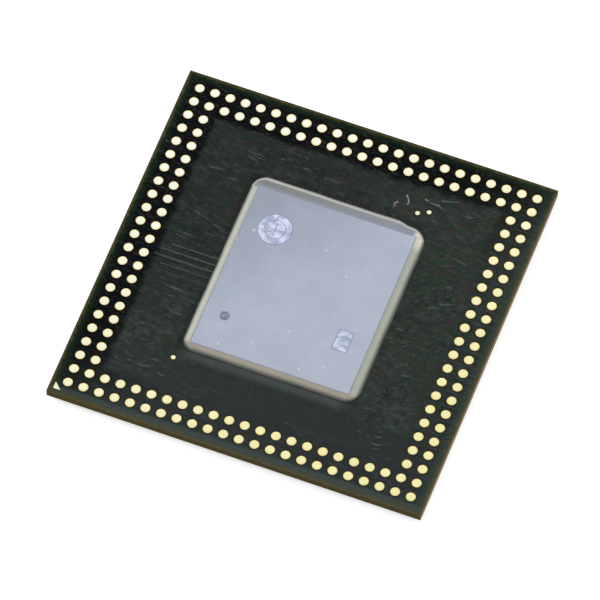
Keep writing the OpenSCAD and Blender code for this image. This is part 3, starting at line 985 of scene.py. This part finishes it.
    def _sweep(self, graph: Graph, path: object, width: object, height: object,
               sides: object = 8) -> object:
        """Runs a low section along a curve.

        Args:
            graph: the tree.
            path: the curve to follow.
            width: width of the section.
            height: height of the section over its own middle.
            sides: 4 for a ridge like a roof, more for a rounded one.

        Returns:
            The swept mesh.
        """
        section = graph.add("GeometryNodeCurvePrimitiveCircle", {"Resolution": sides,
                                                                 "Radius": 0.5})
        squash = graph.add("GeometryNodeTransform", {0: section.outputs[0]})
        size = graph.add("ShaderNodeCombineXYZ", {0: width, 1: graph.math("MULTIPLY", height, 2.0),
                                                  2: 1.0})
        graph.feed(squash.inputs["Scale"], size.outputs[0])
        swept = graph.add("GeometryNodeCurveToMesh", {"Curve": path,
                                                      "Profile Curve": squash.outputs[0]})
        swept.inputs["Fill Caps"].default_value = True
        return swept.outputs[0]

    def _collars(self) -> Graph:
        """Returns the tree for the low rounded rims of mask round the openings."""
        graph, entry, out = self._start("mask_collars", [
            Port("Opening"), Port("Width"), Port("Height"), Port("Sides", INTEGER, 18)])
        middle = graph.math("MULTIPLY", graph.math("ADD", entry["Opening"], entry["Width"]), 0.5)
        ring = graph.add("GeometryNodeCurvePrimitiveCircle", {"Resolution": entry["Sides"],
                                                              "Radius": middle})
        swept = self._sweep(graph, ring.outputs[0], entry["Width"], entry["Height"], 4)
        put = graph.add("GeometryNodeInstanceOnPoints", {"Points": entry["Geometry"],
                                                         "Instance": swept})
        return self._end(graph, entry, out, put.outputs[0])

    def _ridges(self) -> Graph:
        """Returns the tree for the low ridges that traces raise in the mask."""
        graph, entry, out = self._start("trace_ridges", [
            Port("Width"), Port("Height"), Port("Bend"), Port("Patch", default=1.0 * MM),
            Port("Fade", default=0.85), Port("Seed", default=1.0),
            Port("Sides", INTEGER, 8), Port("Smooth", "NodeSocketBool", True)])
        path = graph.add("GeometryNodeMeshToCurve", {0: entry["Geometry"]})
        bent = graph.add("GeometryNodeFilletCurve", {0: path.outputs[0]}, mode="POLY")
        bent.inputs["Count"].default_value = 4
        graph.feed(bent.inputs["Radius"], entry["Bend"])
        swept = self._sweep(graph, bent.outputs[0], entry["Width"], entry["Height"],
                            entry["Sides"])
        place = graph.add("GeometryNodeInputPosition")
        patches = graph.add("ShaderNodeTexNoise", {
            "Vector": place.outputs[0], "W": entry["Seed"], "Detail": 1.0,
            "Scale": graph.math("DIVIDE", 1.0, entry["Patch"])}, noise_dimensions="4D")
        lost = graph.math("MULTIPLY", graph.ramp(patches.outputs[0], 0.35, 0.6, 1.0, 0.0),
                          entry["Fade"])
        sink = graph.math("MULTIPLY", lost, entry["Height"])
        down = graph.add("ShaderNodeCombineXYZ", {2: graph.math("MULTIPLY", sink, -1.0)})
        settled = graph.add("GeometryNodeSetPosition", {0: swept})
        graph.feed(settled.inputs["Offset"], down.outputs[0])
        return self._end(graph, entry, out, settled.outputs[0], entry["Smooth"])


@dataclass
class Layout:
    """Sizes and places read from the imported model, in metres."""

    board: tuple[Vector, Vector] = field(default_factory=lambda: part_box("top_solder_mask"))
    die: tuple[Vector, Vector] = field(default_factory=lambda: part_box("silicon_die"))
    resin: tuple[Vector, Vector] = field(default_factory=lambda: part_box("underfill"))
    bumps: tuple[Vector, Vector] = field(default_factory=lambda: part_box("flip_chip_bumps"))
    outer: list[Vector] = field(default_factory=lambda: solid_centres("outer_lands"))
    inner: list[Vector] = field(default_factory=lambda: solid_centres("inner_lands"))
    probes: list[Vector] = field(default_factory=lambda: solid_centres("probe_pads"))
    land_d: float = 0.3 * MM
    probe_d: float = 0.15 * MM
    bump_d: float = 0.1 * MM
    bump_pitch: float = 0.24 * MM

    @property
    def top(self) -> float:
        """Height of the solder mask's upper face."""
        return self.board[1].z

    def on_top(self, points: Iterable[Point]) -> list[Vector]:
        """Sets points given in millimetres from the board's middle on the solder mask."""
        return [Vector((x * MM, y * MM, self.top)) for x, y in points]


class Turn(Enum):
    """The four sides of the board, each with the direction from its lands to the die."""

    LEFT = (1, 0)
    RIGHT = (-1, 0)
    FRONT = (0, 1)
    BACK = (0, -1)


def loft(name: str, rows: Sequence[Sequence[Vector]]) -> bpy.types.Mesh:
    """Joins closed outlines with as many points each into one ring-shaped skin.

    Args:
        name: the mesh's name.
        rows: the outlines, where the last is joined to the first again.

    Returns:
        The closed mesh, with its faces outwards.
    """
    count = len(rows[0])
    faces = []
    for j in range(len(rows)):
        for i in range(count):
            a = j * count + i
            b = j * count + (i + 1) % count
            c = ((j + 1) % len(rows)) * count + (i + 1) % count
            d = ((j + 1) % len(rows)) * count + i
            faces.append((a, b, c, d))
    mesh = bpy.data.meshes.new(name)
    mesh.from_pydata([tuple(p) for row in rows for p in row], [], faces)
    return mend(mesh)


def mend(mesh: bpy.types.Mesh) -> bpy.types.Mesh:
    """Merges doubled points and turns every face outwards."""
    work = bmesh.new()
    work.from_mesh(mesh)
    bmesh.ops.remove_doubles(work, verts=work.verts, dist=1e-8)
    bmesh.ops.recalc_face_normals(work, faces=work.faces)
    work.to_mesh(mesh)
    work.free()
    return mesh


@dataclass(frozen=True)
class Field:
    """A part of the mask where the film has wrinkled, in millimetres."""

    middle: Point
    reach: Point
    count: int
    length: float
    curl: float


@dataclass
class Wiring:
    """The relief that traces and openings raise in the solder mask."""

    layout: Layout
    finishes: Finishes
    growth: Growth
    ridge_width: float = 0.09 * MM
    ridge_height: float = 0.0035 * MM
    bold_width: float = 0.13 * MM
    bold_height: float = 0.012 * MM
    bold_from: float = -1.7 * MM
    bold_to: float = 0.6 * MM
    stub_width: float = 0.06 * MM
    stub_height: float = 0.005 * MM
    gap: float = 0.25 * MM
    bend: float = 0.12 * MM
    lead: float = 0.24 * MM
    tail: float = 0.3 * MM
    land_share: float = 0.55
    rim_share: float = 0.2
    outer_reach: float = 2.2
    inner_reach: float = 4.2
    same_row: float = 0.1 * MM
    straight: float = 0.01 * MM
    probe_room: float = 0.16 * MM
    collar_width: float = 0.045 * MM
    collar_height: float = 0.006 * MM
    wrinkle_width: float = 0.15 * MM
    wrinkle_height: float = 0.011 * MM
    wrinkle_seed: int = 7
    wrinkle_steps: int = 6
    wrinkle_limit: float = 4.62
    wrinkle_heading: float = -0.06
    wrinkle_pace: Span = (0.5, 1.4)
    fields: tuple[Field, ...] = (
        Field((-3.75, 0.9), (0.7, 3.2), 24, 0.6, 0.1),
        Field((-3.9, -3.0), (0.7, 1.2), 28, 0.6, 0.35),
        Field((3.7, -2.2), (0.8, 1.6), 44, 0.6, 0.4),
        Field((3.8, 1.8), (0.7, 2.0), 28, 0.6, 0.3),
        Field((-2.0, 4.0), (1.4, 0.5), 20, 0.5, 0.3),
        Field((3.3, 4.0), (0.6, 0.5), 8, 0.5, 0.3),
        Field((4.1, -4.0), (0.4, 0.5), 10, 0.5, 0.4),
    )

    def escape(self, start: Vector, end: Vector, inwards: Vector) -> list[Vector]:
        """Returns the path of one trace, straight, slanted and straight again.

        Args:
            start: centre of the land.
            end: centre of the bump.
            inwards: direction from the board's side to the die.

        Returns:
            The path's points, from the land to the bump.
        """
        run = (end - start).dot(inwards)
        shift = end - start - run * inwards
        cross = min(shift.length, run - self.lead - self.tail)
        if shift.length < self.straight:
            return [start, end]
        bend = start + self.lead * inwards
        return [start, bend, bend + cross * inwards + shift, end]

    def side(self, turn: Turn) -> list[list[Vector]]:
        """Returns the paths of one side's traces."""
        inwards = Vector((*turn.value, 0.0))
        axis = 1 if turn.value[0] else 0
        other = 1 - axis
        lands = self.layout.inner
        edge = min(p[other] * inwards[other] for p in lands)
        row = [p for p in lands if abs(p[other] * inwards[other] - edge) < self.same_row]
        if axis == 1:
            limit = max(p.y for p in lands) - self.same_row
            row = [p for p in row if abs(p.y) < limit]
        low, high = self.layout.bumps
        half = self.layout.bump_d / 2
        first = low[axis] + half
        count = round((high[axis] - half - first) / self.layout.bump_pitch) + 1
        skip = (count - len(row)) // 2
        place = (low[other] + half) if inwards[other] > 0 else (high[other] - half)
        paths = []
        for i, land in enumerate(sorted(row, key=lambda p: p[axis])):
            end = Vector((0.0, 0.0, self.layout.top))
            end[axis] = first + (i + skip) * self.layout.bump_pitch
            end[other] = place
            start = Vector((land.x, land.y, self.layout.top))
            paths.append(self.escape(start, end, inwards))
        return paths

    def trimmed(self, path: list[Vector]) -> list[Vector]:
        """Starts a path at its land's collar rather than at the land's centre."""
        away = (path[1] - path[0]).normalized()
        return [path[0] + away * self.layout.land_d * self.land_share, *path[1:]]

    def is_clear(self, path: Sequence[Vector]) -> bool:
        """Tells whether a path keeps off the probe pads."""
        for probe in self.layout.probes:
            for a, b in zip(path, path[1:]):
                spot = Vector((probe.x, probe.y, a.z))
                along = (b - a).normalized()
                share = max(0.0, min((b - a).length, (spot - a).dot(along)))
                if (a + share * along - spot).length < self.probe_room:
                    return False
        return True

    def stubs(self) -> list[list[Vector]]:
        """Returns the plating stubs, which run from the lands to the front and right edges."""
        low, high = self.layout.board
        top = self.layout.top
        rim = self.gap * self.rim_share
        outer = self.gap * self.outer_reach
        inner = self.gap * self.inner_reach
        paths = []
        for p in self.layout.outer:
            if p.x > high.x - outer:
                paths.append([Vector((p.x, p.y, top)), Vector((high.x - rim, p.y, top))])
            if p.y < low.y + outer:
                paths.append([Vector((p.x, p.y, top)), Vector((p.x, low.y + rim, top))])
        for p in self.layout.inner:
            if p.x > high.x - inner and abs(p.y) < high.y - inner:
                side = Vector((p.x + self.gap, p.y + self.gap, top))
                paths.append([Vector((p.x, p.y, top)), side, Vector((high.x - rim, side.y, top))])
            if p.y < low.y + inner and abs(p.x) < high.x - inner:
                side = Vector((p.x + self.gap, p.y - self.gap, top))
                paths.append([Vector((p.x, p.y, top)), side, Vector((side.x, low.y + rim, top))])
        return [self.trimmed(path) for path in paths]

    def ridges(self, name: str, paths: Sequence[Sequence[Vector]], **values: float) -> None:
        """Builds the ridges over a set of paths.

        Args:
            name: the piece's name.
            paths: the points of each path.
            values: the tree's Width, Height, Fade, Patch and Seed where they aren't the usual.
        """
        usual = {"Finish": self.finishes.mask, "Width": self.ridge_width,
                 "Height": self.ridge_height, "Bend": self.bend, "Fade": 1.0}
        grow(name, path_mesh(name + "_paths", paths), self.growth.ridges, usual | values)
        LOG.info("%s: %d ridges", name, len(paths))

    def collars(self, name: str, places: Sequence[Vector], opening: float) -> None:
        """Builds the mask's rims round a set of openings."""
        spots = [Vector((p.x, p.y, self.layout.top)) for p in places]
        grow(name, point_mesh(name + "_places", spots), self.growth.collars, {
            "Finish": self.finishes.mask, "Opening": opening,
            "Width": self.collar_width, "Height": self.collar_height})
        LOG.info("%s: %d rims", name, len(spots))

    def wrinkles(self) -> list[list[Vector]]:
        """Returns short wandering paths for the wrinkles of each field."""
        dice = random.Random(self.wrinkle_seed)
        paths = []
        for area in self.fields:
            for _ in range(area.count):
                x, y = (m + r * dice.uniform(-1, 1) for m, r in zip(area.middle, area.reach))
                heading = dice.gauss(self.wrinkle_heading, area.curl)
                bend = dice.gauss(0.0, area.curl)
                pace = area.length * dice.uniform(*self.wrinkle_pace) / self.wrinkle_steps
                line = [(x, y)]
                for _ in range(self.wrinkle_steps):
                    heading += bend + dice.gauss(0.0, area.curl / 3)
                    x += pace * math.cos(heading)
                    y += pace * math.sin(heading)
                    line.append((x, y))
                path = self.layout.on_top(line)
                farthest = max(abs(c) for p in line for c in p)
                if self.is_clear(path) and farthest < self.wrinkle_limit:
                    paths.append(path)
        return paths

    def build(self) -> None:
        """Builds the ridges, the wrinkles and the collars."""
        for turn in Turn:
            paths = [self.trimmed(p) for p in self.side(turn) if self.is_clear(p)]
            bold = [p for p in paths if turn is Turn.LEFT
                    and self.bold_from < p[0].y < self.bold_to]
            plain = [p for p in paths if p not in bold]
            self.ridges(f"mask_over_traces_{turn.name.lower()}", plain)
            if bold:
                self.ridges("mask_over_proud_traces", bold, Width=self.bold_width,
                            Height=self.bold_height, Patch=0.7 * MM, Seed=4.0, Sides=4,
                            Smooth=False)
        self.ridges("mask_over_stubs", self.stubs(), Width=self.stub_width,
                    Height=self.stub_height, Bend=0.05 * MM)
        self.ridges("mask_wrinkles", self.wrinkles(), Width=self.wrinkle_width,
                    Height=self.wrinkle_height, Bend=0.04 * MM, Patch=0.4 * MM, Seed=6.0, Sides=4,
                    Smooth=False)
        lands = self.layout.outer + self.layout.inner
        self.collars("land_collars", lands, self.layout.land_d)
        self.collars("probe_collars", self.layout.probes, self.layout.probe_d)


@dataclass
class Lands:
    """The gold-finished lands and probe pads, seated in the mask's openings."""

    layout: Layout
    finishes: Finishes
    growth: Growth
    dish: float = 0.002 * MM
    tilt: float = 0.012
    sharp: float = 30.0

    def row(self, name: str, node: str, places: list[Vector], diameter: float, seed: int) -> None:
        """Builds one set of lands in place of the node's plain discs.

        Args:
            name: the piece's name.
            node: the node that it stands for.
            places: centres of the lands.
            diameter: diameter of each.
            seed: seed of the small tilts.
        """
        low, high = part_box(node)
        piece = grow(name, point_mesh(name + "_places", places), self.growth.lands, {
            "Finish": self.finishes.gold, "Diameter": diameter, "Thickness": high.z - low.z,
            "Dish": self.dish, "Tilt": self.tilt, "Seed": seed})
        piece.data.set_sharp_from_angle(angle=math.radians(self.sharp))
        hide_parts(node)
        LOG.info("%s: %d lands", name, len(places))

    def build(self) -> None:
        """Builds both rings of lands and the probe pads."""
        self.row("gold_lands_outer", "outer_lands", self.layout.outer, self.layout.land_d, 11)
        self.row("gold_lands_inner", "inner_lands", self.layout.inner, self.layout.land_d, 23)
        self.row("gold_probe_pads", "probe_pads", self.layout.probes, self.layout.probe_d, 5)
        dress("corner_mark", self.finishes.gold)


@dataclass
class Balls:
    """The solder balls under the board."""

    finishes: Finishes
    growth: Growth
    diameter: float = 0.25 * MM
    nodes: tuple[str, ...] = (
        "outer_balls_row_1", "outer_balls_row_2", "outer_balls_row_3", "outer_balls_row_4",
        "core_balls_row_1", "core_balls_row_2", "core_balls_row_3")

    def build(self) -> None:
        """Builds every row in place of its node."""
        board_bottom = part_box("bottom_solder_mask")[0].z
        for seed, node in enumerate(self.nodes):
            places = [Vector((p.x, p.y, 0.0)) for p in solid_centres(node)]
            name = node.replace("balls", "reflowed_balls")
            piece = grow(name, point_mesh(name + "_places", places), self.growth.balls, {
                "Finish": self.finishes.solder, "Diameter": self.diameter,
                "Height": board_bottom, "Seed": seed})
            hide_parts(node)
            LOG.info("%s: %d balls", name, len(places))


@dataclass
class Resin:
    """The underfill's fillet, a hollow slope from the die's side down to the mask."""

    layout: Layout
    finishes: Finishes
    left: float = 0.25 * MM
    right: float = 0.28 * MM
    front: float = 0.2 * MM
    back: float = 0.46 * MM
    step: float = 0.09 * MM
    step_from: float = 0.05 * MM
    step_run: float = 0.4 * MM
    rounding: tuple[float, ...] = (0.52 * MM, 0.58 * MM, 0.48 * MM, 0.4 * MM)
    lip: float = 0.01 * MM
    hollow: float = 1.3
    edge: float = 0.006 * MM
    corner_points: int = 16
    side_points: int = 32
    slope_points: int = 12
    wave: float = 0.006 * MM
    swings: tuple[tuple[int, float, float], ...] = ((7, 0.6, 1.0), (17, 2.1, 0.6))
    sharp: float = 50.0

    def outline(self, share: float, height: float) -> list[Vector]:
        """Returns the fillet's outline at a share of its full width.

        Args:
            share: 1 at the outer edge, 0 at the die, and -1 inside the die's side.
            height: the outline's height.

        Returns:
            The outline's points, counter-clockwise.
        """
        low, high = self.layout.die
        lip = self.lip if share >= 0 else 0.0
        share = max(share, 0.0)

        def grown(full: float) -> float:
            """Returns a width or rounding at this share."""
            return lip + share * (full - self.lip)

        left, right, front, back = map(grown, (self.left, self.right, self.front, self.back))
        narrow = back - share * self.step
        radii = [grown(r) for r in self.rounding]
        middles = [(high.x + right - radii[0], low.y - front + radii[0]),
                   (high.x + right - radii[1], high.y + narrow - radii[1]),
                   (low.x - left + radii[2], high.y + back - radii[2]),
                   (low.x - left + radii[3], low.y - front + radii[3])]
        points: list[Vector] = []
        for k, (x, y) in enumerate(middles):
            for i in range(self.corner_points + 1):
                turn = math.radians(270 + 90 * k + 90 * i / self.corner_points)
                points.append(Vector((x + radii[k] * math.cos(turn), y + radii[k] * math.sin(turn),
                                      height)))
            end = middles[(k + 1) % 4]
            turn = math.radians(270 + 90 * (k + 1))
            radius = radii[(k + 1) % 4]
            goal = Vector((end[0] + radius * math.cos(turn), end[1] + radius * math.sin(turn),
                           height))
            start = points[-1].copy()
            for i in range(1, self.side_points):
                spot = start.lerp(goal, i / self.side_points)
                if k == 1:
                    run = (start.x - self.step_from - spot.x) / self.step_run
                    run = max(0.0, min(1.0, run))
                    spot.y = start.y + (back - narrow) * run * run * (3 - 2 * run)
                points.append(spot)
        return self.waved(points, share)

    def waved(self, points: list[Vector], share: float) -> list[Vector]:
        """Lets the outline wander a little, most at the outer edge."""
        middle = (self.layout.die[0] + self.layout.die[1]) / 2
        for p in points:
            turn = math.atan2(p.y - middle.y, p.x - middle.x)
            swing = sum(size * math.sin(count * turn + phase)
                        for count, phase, size in self.swings)
            away = Vector((p.x - middle.x, p.y - middle.y, 0)).normalized()
            p += away * swing * self.wave * share
        return points

    def build(self) -> None:
        """Builds the fillet in place of the node."""
        bottom = self.layout.top
        climb = self.layout.resin[1].z - bottom - self.edge
        rows = [self.outline(1.0, bottom)]
        for j in range(self.slope_points + 1):
            rise = j / self.slope_points
            share = 1 - (1 - (1 - rise) ** self.hollow) ** (1 / self.hollow)
            rows.append(self.outline(share, bottom + self.edge + climb * rise))
        rows.append(self.outline(-1.0, rows[-1][0].z))
        rows.append(self.outline(-1.0, bottom))
        piece = new_piece("resin_fillet", loft("resin_fillet", rows), self.finishes.resin)
        piece.data.set_sharp_from_angle(angle=math.radians(self.sharp))
        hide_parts("underfill")
        LOG.info("resin_fillet: %d faces", len(piece.data.polygons))


@dataclass
class Die:
    """The silicon die with its sawn edges and its plain etched marks."""

    layout: Layout
    finishes: Finishes
    growth: Growth
    chamfer: float = 0.006 * MM
    dark_border: float = 0.022 * MM
    line: float = 0.036 * MM
    etch: float = 0.0012 * MM
    film: float = 0.0008 * MM
    target: Point = (-1.53, 1.56)
    target_d: float = 1.06
    frame_mark: Point = (1.76, -1.34)
    frame_size: Point = (0.46, 0.7)
    dot: Point = (-1.88, -1.79)
    dot_d: float = 0.3
    target_arm: float = 0.24
    target_inner: float = 0.62
    dot_inner: float = 0.35
    bar_reach: float = 0.45
    bend: float = 0.01 * MM

    def ring(self, middle: Point, diameter: float, sides: int = 32) -> list[Point]:
        """Returns a closed ring of points, in millimetres."""
        turns = [2 * math.pi * i / sides for i in range(sides)]
        radius = diameter / 2
        return [(middle[0] + radius * math.cos(t), middle[1] + radius * math.sin(t)) for t in turns]

    def frame(self) -> list[Point]:
        """Returns the small frame's corners, in millimetres."""
        (x, y), (width, depth) = self.frame_mark, self.frame_size
        w, h = width / 2, depth / 2
        return [(x - w, y - h), (x + w, y - h), (x + w, y + h), (x - w, y + h)]

    def strokes(self) -> list[tuple[list[Point], bool]]:
        """Returns the marks as lines, each with whether it is closed."""
        tx, ty = self.target
        arm = self.target_d * self.target_arm
        fx, fy = self.frame_mark
        w, h = (size / 2 * self.bar_reach for size in self.frame_size)
        bars = [([(fx - w, fy + k * h), (fx + w, fy + k * h)], False) for k in (-1, 0, 1)]
        return [
            (self.ring(self.target, self.target_d), True),
            (self.ring(self.target, self.target_d * self.target_inner), True),
            ([(tx - arm, ty), (tx + arm, ty)], False),
            ([(tx, ty - arm), (tx, ty + arm)], False),
            (self.ring(self.dot, self.dot_d), True),
            (self.ring(self.dot, self.dot_d * self.dot_inner, 12), True),
            (self.frame(), True),
            *bars,
        ]

    def patches(self) -> None:
        """Builds the thin frosted fields under the marks and the dark fill of the dot."""
        fields = ((self.ring(self.target, self.target_d), self.finishes.frosted),
                  (self.ring(self.dot, self.dot_d), self.finishes.pitted),
                  (self.frame(), self.finishes.frosted))
        height = self.layout.die[1].z
        for k, (outline, finish) in enumerate(fields):
            count = len(outline)
            points = [(x * MM, y * MM, height) for x, y in outline]
            points += [(x * MM, y * MM, height + self.film) for x, y in outline]
            faces = [tuple(range(count - 1, -1, -1)), tuple(range(count, 2 * count))]
            for i in range(count):
                after = (i + 1) % count
                faces.append((i, after, count + after, count + i))
            mesh = bpy.data.meshes.new(f"mark_field_{k + 1}")
            mesh.from_pydata(points, [], faces)
            new_piece(mesh.name, mend(mesh), finish, smooth=False)

    def body(self) -> None:
        """Builds the die in place of the node, with a fine darker border round its back, in the
        sawn finish.
        """
        low, high = self.layout.die
        steps = ((0.0, low.z), (0.0, high.z - self.chamfer), (self.chamfer, high.z),
                 (self.dark_border, high.z))
        points: list[tuple[float, float, float]] = []
        for inset, height in steps:
            left, right = low.x + inset, high.x - inset
            front, back = low.y + inset, high.y - inset
            points += [(left, front, height), (right, front, height), (right, back, height),
                       (left, back, height)]
        faces = [(3, 2, 1, 0)]
        for j in range(len(steps) - 1):
            faces += [(4 * j + i, 4 * j + (i + 1) % 4, 4 * j + 4 + (i + 1) % 4, 4 * j + 4 + i)
                      for i in range(4)]
        last = 4 * (len(steps) - 1)
        faces.append((last, last + 1, last + 2, last + 3))
        mesh = bpy.data.meshes.new("ground_die")
        mesh.from_pydata(points, [], faces)
        piece = new_piece("ground_die", mend(mesh), self.finishes.sawn, smooth=False)
        piece.data.materials.append(self.finishes.silicon)
        top = max(piece.data.polygons, key=lambda f: (f.center.z, f.area))
        top.material_index = 1
        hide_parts("silicon_die")

    def build(self) -> None:
        """Builds the die and its marks."""
        self.body()
        self.patches()
        height = self.layout.die[1].z
        strokes = self.strokes()
        lines = [[Vector((x * MM, y * MM, height)) for x, y in line] for line, _ in strokes]
        paths = path_mesh("mark_paths", lines, [closed for _, closed in strokes])
        grow("etched_marks", paths, self.growth.ridges, {
            "Finish": self.finishes.etched, "Width": self.line, "Height": self.etch,
            "Bend": self.bend, "Fade": 0.0})
        LOG.info("ground_die: %d marks", len(strokes))


@dataclass
class Board:
    """The laminate board: its masks, resin layers, core and copper."""

    finishes: Finishes

    def build(self) -> None:
        """Gives each layer its finish."""
        for node in ("top_solder_mask", "bottom_solder_mask"):
            dress(node, self.finishes.mask)
        for node in ("top_prepreg", "bottom_prepreg"):
            dress(node, self.finishes.prepreg)
        dress("core_laminate", self.finishes.laminate)
        for node in ("top_copper", "bottom_copper", "ground_plane", "power_plane", "core_vias",
                     "top_microvias", "bottom_microvias"):
            dress(node, self.finishes.copper)
        dress("flip_chip_bumps", self.finishes.solder)
        LOG.info("board: dressed")


@dataclass
class Wear:
    """Scuffs on the mask beside the probe pads."""

    layout: Layout
    finishes: Finishes
    growth: Growth
    width: float = 0.05 * MM
    height: float = 0.0015 * MM
    bend: float = 0.08 * MM
    strokes: tuple[tuple[Point, ...], ...] = (
        ((1.74, 4.22), (1.83, 4.12), (1.9, 3.98), (1.88, 3.9)),
        ((1.58, 3.9), (1.5, 3.82), (1.52, 3.72)),
        ((2.32, 4.28), (2.56, 4.2), (2.8, 4.22)),
    )

    def build(self) -> None:
        """Builds the scuffs as thin pale films."""
        paths = path_mesh("scuff_paths", [self.layout.on_top(line) for line in self.strokes])
        grow("mask_scuffs", paths, self.growth.ridges, {
            "Finish": self.finishes.scuff, "Width": self.width, "Height": self.height,
            "Bend": self.bend})
        LOG.info("mask_scuffs: %d", len(self.strokes))


@dataclass
class Studio:
    """White table, soft light and the camera."""

    layout: Layout
    azimuth: float = 20.61
    elevation: float = 60.49
    roll: float = 0.23
    distance: float = 271.49 * MM
    lens: float = 539.25
    aim: Point = (0.014, -0.374)
    clip: Span = (0.002, 10.0)
    floor_size: float = 0.8
    surround: float = 0.68
    paper: float = 0.82
    glow: float = 0.5

    def camera(self) -> None:
        """Makes the camera."""
        across, up = math.radians(self.azimuth), math.radians(self.elevation)
        back = Vector((math.sin(across) * math.cos(up), -math.cos(across) * math.cos(up),
                       math.sin(up)))
        target = Vector((self.aim[0] * MM, self.aim[1] * MM, self.layout.top))
        data = bpy.data.cameras.new("camera")
        data.lens = self.lens
        data.clip_start, data.clip_end = self.clip
        eye = linked("camera", data)
        eye.location = target + back * self.distance
        eye.rotation_mode = "QUATERNION"
        look = (-back).to_track_quat("-Z", "Y")
        turned = look.to_matrix() @ Matrix.Rotation(math.radians(self.roll), 3, "Z")
        eye.rotation_quaternion = turned.to_quaternion()
        bpy.context.scene.camera = eye

    def lamp(self, name: str, place: Point, height: float, size: float, power: float) -> None:
        """Makes a soft square lamp that points at the chip.

        Args:
            name: the lamp's name.
            place: its place over the table, in metres.
            height: its height over the table.
            size: its width.
            power: its power in watts.
        """
        data = bpy.data.lights.new(name, "AREA")
        data.size = size
        data.energy = power
        lamp = linked(name, data)
        lamp.location = (place[0], place[1], height)
        lamp.rotation_mode = "QUATERNION"
        lamp.rotation_quaternion = (-Vector(lamp.location)).to_track_quat("-Z", "Y")

    @staticmethod
    def seen(graph: Graph) -> bpy.types.NodeSocket:
        """Returns 1 for the rays that see a background as it is: camera, glossy, transmission."""
        path = graph.add("ShaderNodeLightPath")
        mirrored = graph.math("MAXIMUM", path.outputs["Is Camera Ray"],
                              path.outputs["Is Glossy Ray"])
        return graph.math("MAXIMUM", mirrored, path.outputs["Is Transmission Ray"])

    def world(self) -> None:
        """Makes a soft surround that the camera and mirror-like surfaces see as white."""
        world = bpy.data.worlds.new("surround")
        bpy.context.scene.world = world
        world.use_nodes = True
        world.node_tree.nodes.clear()
        g = Graph(world.node_tree)
        seen = self.seen(g)
        soft = g.add("ShaderNodeBackground", {0: (1.0, 1.0, 1.0, 1.0), 1: self.surround})
        white = g.add("ShaderNodeBackground", {0: (1.0, 1.0, 1.0, 1.0), 1: 1.0})
        both = g.add("ShaderNodeMixShader", {0: seen, 1: soft.outputs[0], 2: white.outputs[0]})
        out = g.add("ShaderNodeOutputWorld")
        g.tree.links.new(both.outputs[0], out.inputs[0])

    def floor(self) -> None:
        """Makes the white table."""
        half = self.floor_size / 2
        mesh = bpy.data.meshes.new("table")
        mesh.from_pydata([(-half, -half, 0), (half, -half, 0), (half, half, 0), (-half, half, 0)],
                         [], [(0, 1, 2, 3)])
        table = linked("table", mesh)
        material = bpy.data.materials.new("white_table")
        material.use_nodes = True
        material.node_tree.nodes.clear()
        g = Graph(material.node_tree)
        paper = g.add("ShaderNodeBsdfDiffuse", {0: (*[self.paper] * 3, 1.0)})
        glow = g.add("ShaderNodeEmission", {0: (1.0, 1.0, 1.0, 1.0), 1: self.glow})
        seen = self.seen(g)
        none = g.add("ShaderNodeEmission", {0: (0.0, 0.0, 0.0, 1.0), 1: 0.0})
        extra = g.add("ShaderNodeMixShader", {0: seen, 1: none.outputs[0], 2: glow.outputs[0]})
        both = g.add("ShaderNodeAddShader", {0: paper.outputs[0], 1: extra.outputs[0]})
        out = g.add("ShaderNodeOutputMaterial")
        g.tree.links.new(both.outputs[0], out.inputs[0])
        mesh.materials.append(material)

    def build(self) -> None:
        """Makes the camera, the lamps, the surround and the table."""
        self.camera()
        self.world()
        self.floor()
        self.lamp("key", (-0.28, 0.12), 0.16, 0.2, 0.45)
        self.lamp("fill", (0.25, -0.08), 0.2, 0.2, 0.3)
        self.lamp("rake", (-0.069, 0.292), 0.264, 0.05, 0.15)
        bpy.context.scene.view_settings.view_transform = "Standard"
        LOG.info("studio: ready")


def main() -> None:
    """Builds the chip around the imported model."""
    logging.basicConfig(level=logging.INFO, format="%(name)s: %(message)s")
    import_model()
    layout = Layout()
    finishes = Finishes()
    growth = Growth()
    Studio(layout).build()
    Board(finishes).build()
    Wiring(layout, finishes, growth).build()
    Lands(layout, finishes, growth).build()
    Resin(layout, finishes).build()
    Die(layout, finishes, growth).build()
    Balls(finishes, growth).build()
    Wear(layout, finishes, growth).build()


if __name__ == "__main__":
    main()
